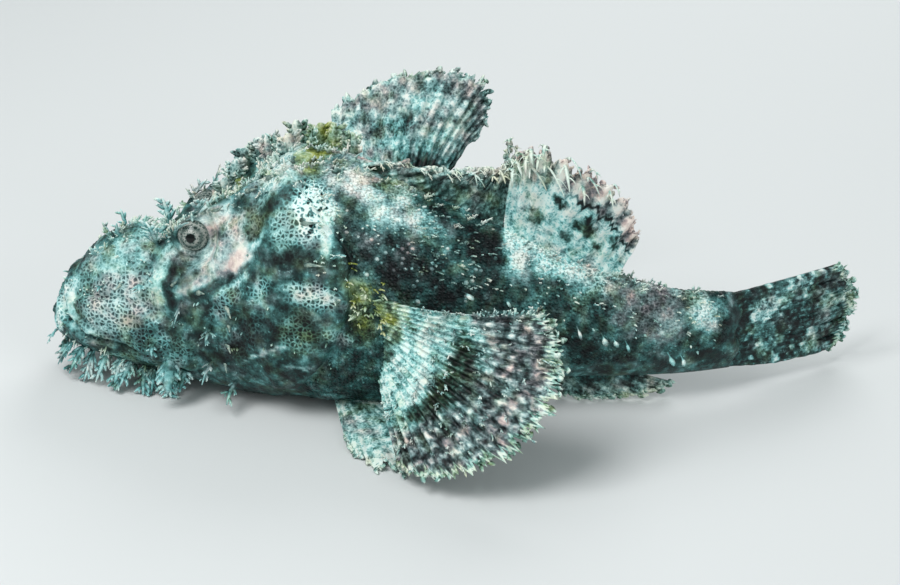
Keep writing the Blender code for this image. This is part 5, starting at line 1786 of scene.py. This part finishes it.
# Snout, brow and cheek, the lobes on the far side of the nape, the beard, and pale clubs
# along the flank.
TASSELS = (
    Tassel(-84, 50, 5.5, 3.2, -0.4, 0.6, 2), Tassel(-76, 56, 7.5, 3.6, 0.1, 1, 3, 0.1, 0.75),
    Tassel(-61, 57, 11, 5.4, 0.1, 1.2, 7, 0.1, 0.8),
    Tassel(-51, 63, 7.5, 4.2, 0.2, 1.4, 4, 0.1, 0.75, 0.3),
    Tassel(-43, 68, 9, 4.8, 0.4, 1.2, 5, 0.1, 0.75, 0.2),
    Tassel(-31, 79, 5.5, 4.2, 0.4, 1, 3, 0.1, 0.7, 0, 0.5), Tassel(-80, 42, 6, 3.2, -0.2, 0.1, 2, 0.3),
    Tassel(-66, 45, 8, 4.2, 0.1, -0.1, 5, 0.3, 0.72), Tassel(-50, 40, 6, 3.4, 0.2, 0, 3, 0.4, 0.5, 0.2),
    Tassel(-38, 34, 7, 3.8, 0.1, -0.2, 4, 0.4, 0.5, 0.2),
    Tassel(-38, 20, 8, 4.4, 0, -0.2, 5, 0.4, 0.54, 0.2), Tassel(-30, 11, 8, 4.2, 0, 0, 4, 0.4, 0.5),
    *(Tassel(x, z, 7.6 + 0.8 * (k % 3), 7.0 + 0.6 * (k % 2), 0.15 * (k % 3 - 1), 2.0, 8, 0.0, tone, pink,
             moss, FAR, net=0.5)
      for k, (x, z, tone, pink, moss) in enumerate((
          (-38, 73.5, 0.62, 0.4, 0.1), (-34, 75.8, 0.7, 0.4, 0.1), (-30, 78, 0.6, 0.4, 0.1),
          (-27, 80, 0.72, 0.3, 0.1), (-24, 82, 0.62, 0.4, 0.1), (-21, 84.2, 0.76, 0.5, 0.0),
          (-18, 86.6, 0.64, 0.2, 0.2), (-15, 88.6, 0.76, 0.4, 0.1), (-11.5, 89.5, 0.6, 0.2, 0.3),
          (-8, 89.5, 0.7, 0.1, 0.5), (-4.5, 89, 0.62, 0.0, 0.8), (-1, 88.3, 0.72, 0.0, 0.6),
          (3, 87.6, 0.6, 0.1, 0.4), (7, 86.8, 0.72, 0.2, 0.2)))),
    Tassel(-19, 83, 3.5, 4, 0.2, 1, 3, 0, 0.8, 0.3, 0, NEAR),
    Tassel(-12, 88, 4.5, 4.6, 0.2, 1, 4, 0, 0.8, 0.3, 0.2, NEAR),
    Tassel(-28, 78, 4, 4, 0.2, 1, 3, 0, 0.76, 0.4, 0.1, NEAR),
    Tassel(-101, 19, 7, 3.8, -0.7, -0.2, 4, 0.5), Tassel(-95, 14, 10, 5.6, -0.5, -0.1, 7, 0.5, 0.66),
    Tassel(-87, 10.5, 11, 5.8, -0.2, 0.1, 9, 0.4, 0.6), Tassel(-76, 8, 11, 5.8, 0, 0.2, 9, 0.4, 0.64),
    Tassel(-67, 6.5, 9, 5.4, 0.1, 0.2, 8, 0.4, 0.58), Tassel(-58, 5.5, 9, 5.4, 0.1, 0.3, 8, 0.4, 0.62),
    Tassel(-91, 13, 8, 5, -0.4, 0.1, 7, 0.5, 0.66), Tassel(-82, 11, 9, 5, -0.1, 0.1, 7, 0.4),
    Tassel(-72, 10, 8, 5, 0, 0.2, 7, 0.4, 0.6), Tassel(-60, 24, 6, 4.4, 0.1, -0.1, 4, 0.4, 0.6),
    Tassel(-98, 12, 7, 4.6, -0.5, 0, 7, 0.5, 0.54), Tassel(-63, 9, 8, 4.8, 0.1, 0.1, 7, 0.4, 0.54),
    Tassel(-54, 18, 9, 6.6, 0.1, -0.1, 7, 0.6, 0.58), Tassel(-50, 12, 8, 5.6, 0.1, 0, 6, 0.6, 0.58),
    Tassel(8, 66, 7, 4.6, 0.9, 0.7, 4, 0.1, 0.85),
    *(Tassel(*values, club=True) for values in (
        (28, 68, 4, 2, 0.6, 0.2, 0, 0.2, 0.85, 0.2), (40, 62, 4, 2, 0.6, 0.1, 0, 0.2, 0.85, 0.2),
        (52, 52, 5, 3, 0.4, 0.1, 0, 0.5, 1, 0.3), (67, 48, 4, 2.2, 0.4, 0.1, 0, 0.5, 0.85),
        (80, 42, 3.6, 2, 0.4, 0, 0, 0.5, 0.85), (92, 37, 4.6, 2.8, 0.3, -0.2, 0, 0.7, 1, 0.2),
        (100, 34, 4, 2.6, 0.3, -0.2, 0, 0.7, 1), (104, 32, 3.6, 2.2, 0.3, -0.2, 0, 0.7, 0.95),
        (108, 30, 4.2, 2.4, 0.3, -0.2, 0, 0.7, 1), (123, 23, 4.4, 2.6, 0.3, -0.2, 0, 0.7, 1),
        (128, 21, 3.6, 2.2, 0.3, -0.2, 0, 0.7, 0.95))),
)
CIRRUS_BEDS = (
    Bed((-98, -60), (2, 28), 80, 1.8, 1.4, 0.2, 0.8, 0.1, 0.2, 0),
    Bed((-84, -60), (1, 10), 40, 3, 2.4, 0, 0.8, 0.1, 0.2, 2),
    Bed((-58, -18), (0.5, 9), 90, 3.4, 2.8, 0, 0.76, 0.3, 0.2, 2),
    Bed((-57, -35), (4, 12), 22, 2.2, 1.6, 0.1, 0.75, 0.4, 0.1, 0),
    Bed((-60, -20), (34, 78), 50, 1.3, 1, 0.3, 0.5, 0.1, 0.1, 0),
    Bed((-100, -52), (56, 80), 120, 3, 2.2, 0.5, 0.6, 0.1, 0.2, 2),
    Bed((-102, -80), (30, 60), 40, 2.4, 1.8, 0.4, 0.8, 0.1, 0.2, 1),
    Bed((-34, 8), (2, 22), 90, 3, 2.6, 0, 0.8, 0.4, 0.15, 2),
    Bed((2, 13), (22, 56), 36, 2.2, 1.8, 0.2, 0.8, 0.1, 0.2, 1),
    Bed((-30, 8), (58, 84), 30, 1.6, 1.2, 0.3, 0.5, 0.1, 0.2, 0),
    Bed((12, 26), (40, 60), 70, 3, 2.6, 0.3, 0.66, 0, 0.95, 1),
    Bed((14, 60), (8, 30), 60, 1.8, 1.4, 0.2, 0.7, 0.3, 0.1, 0),
    Bed((34, 66), (2, 32), 130, 2.8, 1.5, 0.2, 0.62, 0.3, 0.15, 2),
    Bed((20, 145), (14, 26), 60, 1.6, 1.2, 0.3, 0.75, 0.2, 0.1, 0),
    Bed((8, 145), (1.5, 6), 90, 2.6, 2, 0, 0.78, 0.4, 0.1, 2),
    Bed((66, 106), (2, 16), 60, 2.2, 1.8, 0.1, 0.9, 0.1, 0, 1),
    Bed((106, 145), (2, 16), 50, 2.4, 2, 0.1, 0.75, 0.3, 0.15, 1),
)
SPINES = (
    Spine(-73, 56, 3.5, 1, 0.9, 0.3), Spine(-41, 69, 4, 1.2, 1, 0.3),
    Spine(-36, 72, 4.2, 1.2, 1.2, 0.3), Spine(-24, 81.5, 5, 1.3, 1.4, 0.2),
    Spine(-16, 86.5, 4.8, 1.3, 1.4, 0.1), Spine(-73, 44, 3.4, 1.1, -0.3, -0.5),
    Spine(-60, 43, 3.6, 1.2, 0.5, -0.7), Spine(-51, 48, 3.2, 1.1, 0.9, 0.1),
    Spine(-40, 48, 3.6, 1.2, 1.1, 0.1), Spine(-30.5, 44, 5.6, 1.4, 0.8, 0.1),
    Spine(-30.5, 36, 4.2, 1.2, 0.7, 0), Spine(-31, 28, 4, 1.2, 0.6, -0.1),
    Spine(-33, 20, 3.6, 1.1, 0.4, -0.3), Spine(-2, 77, 7, 1.2, 1.6, 0.1),
    Spine(0, 64, 7, 1.2, 1.8, 0.1),
)


def dress(piece: bpy.types.Object, material: bpy.types.Material, slot: str, *nodes: str) -> None:
    """Gives a piece its material, ties it to the fish and hides the solids it stands for.

    Args:
        piece: The piece.
        material: Its material.
        slot: Not used.
        nodes: Names of the solids.
    """
    piece.data.materials.append(material)
    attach(piece, "root")
    if nodes:
        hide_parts(*nodes)
    LOG.info("%s: %d vertices", piece.name, len(piece.data.vertices))


def build_body() -> None:
    """Builds the skin and all that grows on it."""
    skin = BodySkin()
    skin.lay_out()
    skin.sculpt()
    skin.paint(MARKS)
    body = skin.build()
    hide = MottledHide("mottled_fish_skin").material()
    dress(body, hide, "body_skin", "head", "lower_jaw", "left_maxilla", "right_maxilla", "left_gill_cover",
          "right_gill_cover", "trunk", "tail_stalk")
    coat = ScaleCoat(skin).build()
    standing = SkinGrowths(skin)
    for piece in (coat, standing.named(TASSELS), standing.scattered(CIRRUS_BEDS)):
        dress(piece, hide, "body_skin")
    dress(HeadSpines(skin).build(SPINES), SpineHorn().material(), "head_skin")


def build_fins() -> None:
    """Builds the fins, and the flaps, tufts and straps that grow on them."""
    plans = FinPlans()
    membrane = MottledHide("fin_membrane_over_rays", cell=1.4, blotch=2.3, mottle_depth=0.75,
                           bump=0.2).material()
    back_spines, back_rays = plans.spinous_dorsal(), plans.soft_dorsal()
    near_fan = plans.near_pectoral()
    fins = (back_spines, back_rays, plans.anal(), plans.caudal(), near_fan, plans.pelvic(Side.LEFT),
            plans.far_pectoral(), plans.pelvic(Side.RIGHT))
    fringes = Growths("fin_fringes")
    chance = np.random.default_rng(47)
    for fin in fins:
        dress(fin.build(), membrane, "fin_skin", fin.name)
        _, pink, moss, _ = fin.look.margin
        fin.fringe(fringes, 120, Tassel(length=1.9, width=2.2, tone=0.78, pink=pink, moss=moss), chance)
        if fin is near_fan:
            tuft = Tassel(length=2.6, width=0.7, fingers=2, sag=0.2, tone=0.72, pink=0.25, moss=0.05)
            fin.tufts(fringes, 150, tuft, chance)
    back_spines.flags(fringes, (2, 2.5, 3, 3, 3.5, 3.5, 4, 4, 5, 6, 6.5, 6.5, 0),
                      Tassel(width=0.55, fingers=2, sag=0.8, tone=0.95, pink=0.3, moss=0.3), chance)
    back_rays.flags(fringes, (9, 9.5, 9, 8, 7, 5, 0, 0, 0, 0),
                    Tassel(width=0.46, fingers=2, sag=1.25, tone=1.05, pink=0.15, moss=0.25), chance)
    dress(fringes.build(), membrane, "fin_skin")


def main() -> None:
    """Builds the fish piece by piece, then the studio round it."""
    logging.basicConfig(level=logging.INFO, format="%(name)s %(message)s")
    build_body()
    build_fins()
    glass = GlassyEye().material()
    for side in Side:
        dress(Eye(side).build(), glass, "eye", side.name.lower() + "_eye")
    studio = Studio()
    studio.lay_floor()
    studio.set_camera()
    studio.hang_lamps()


if __name__ == "__main__":
    main()
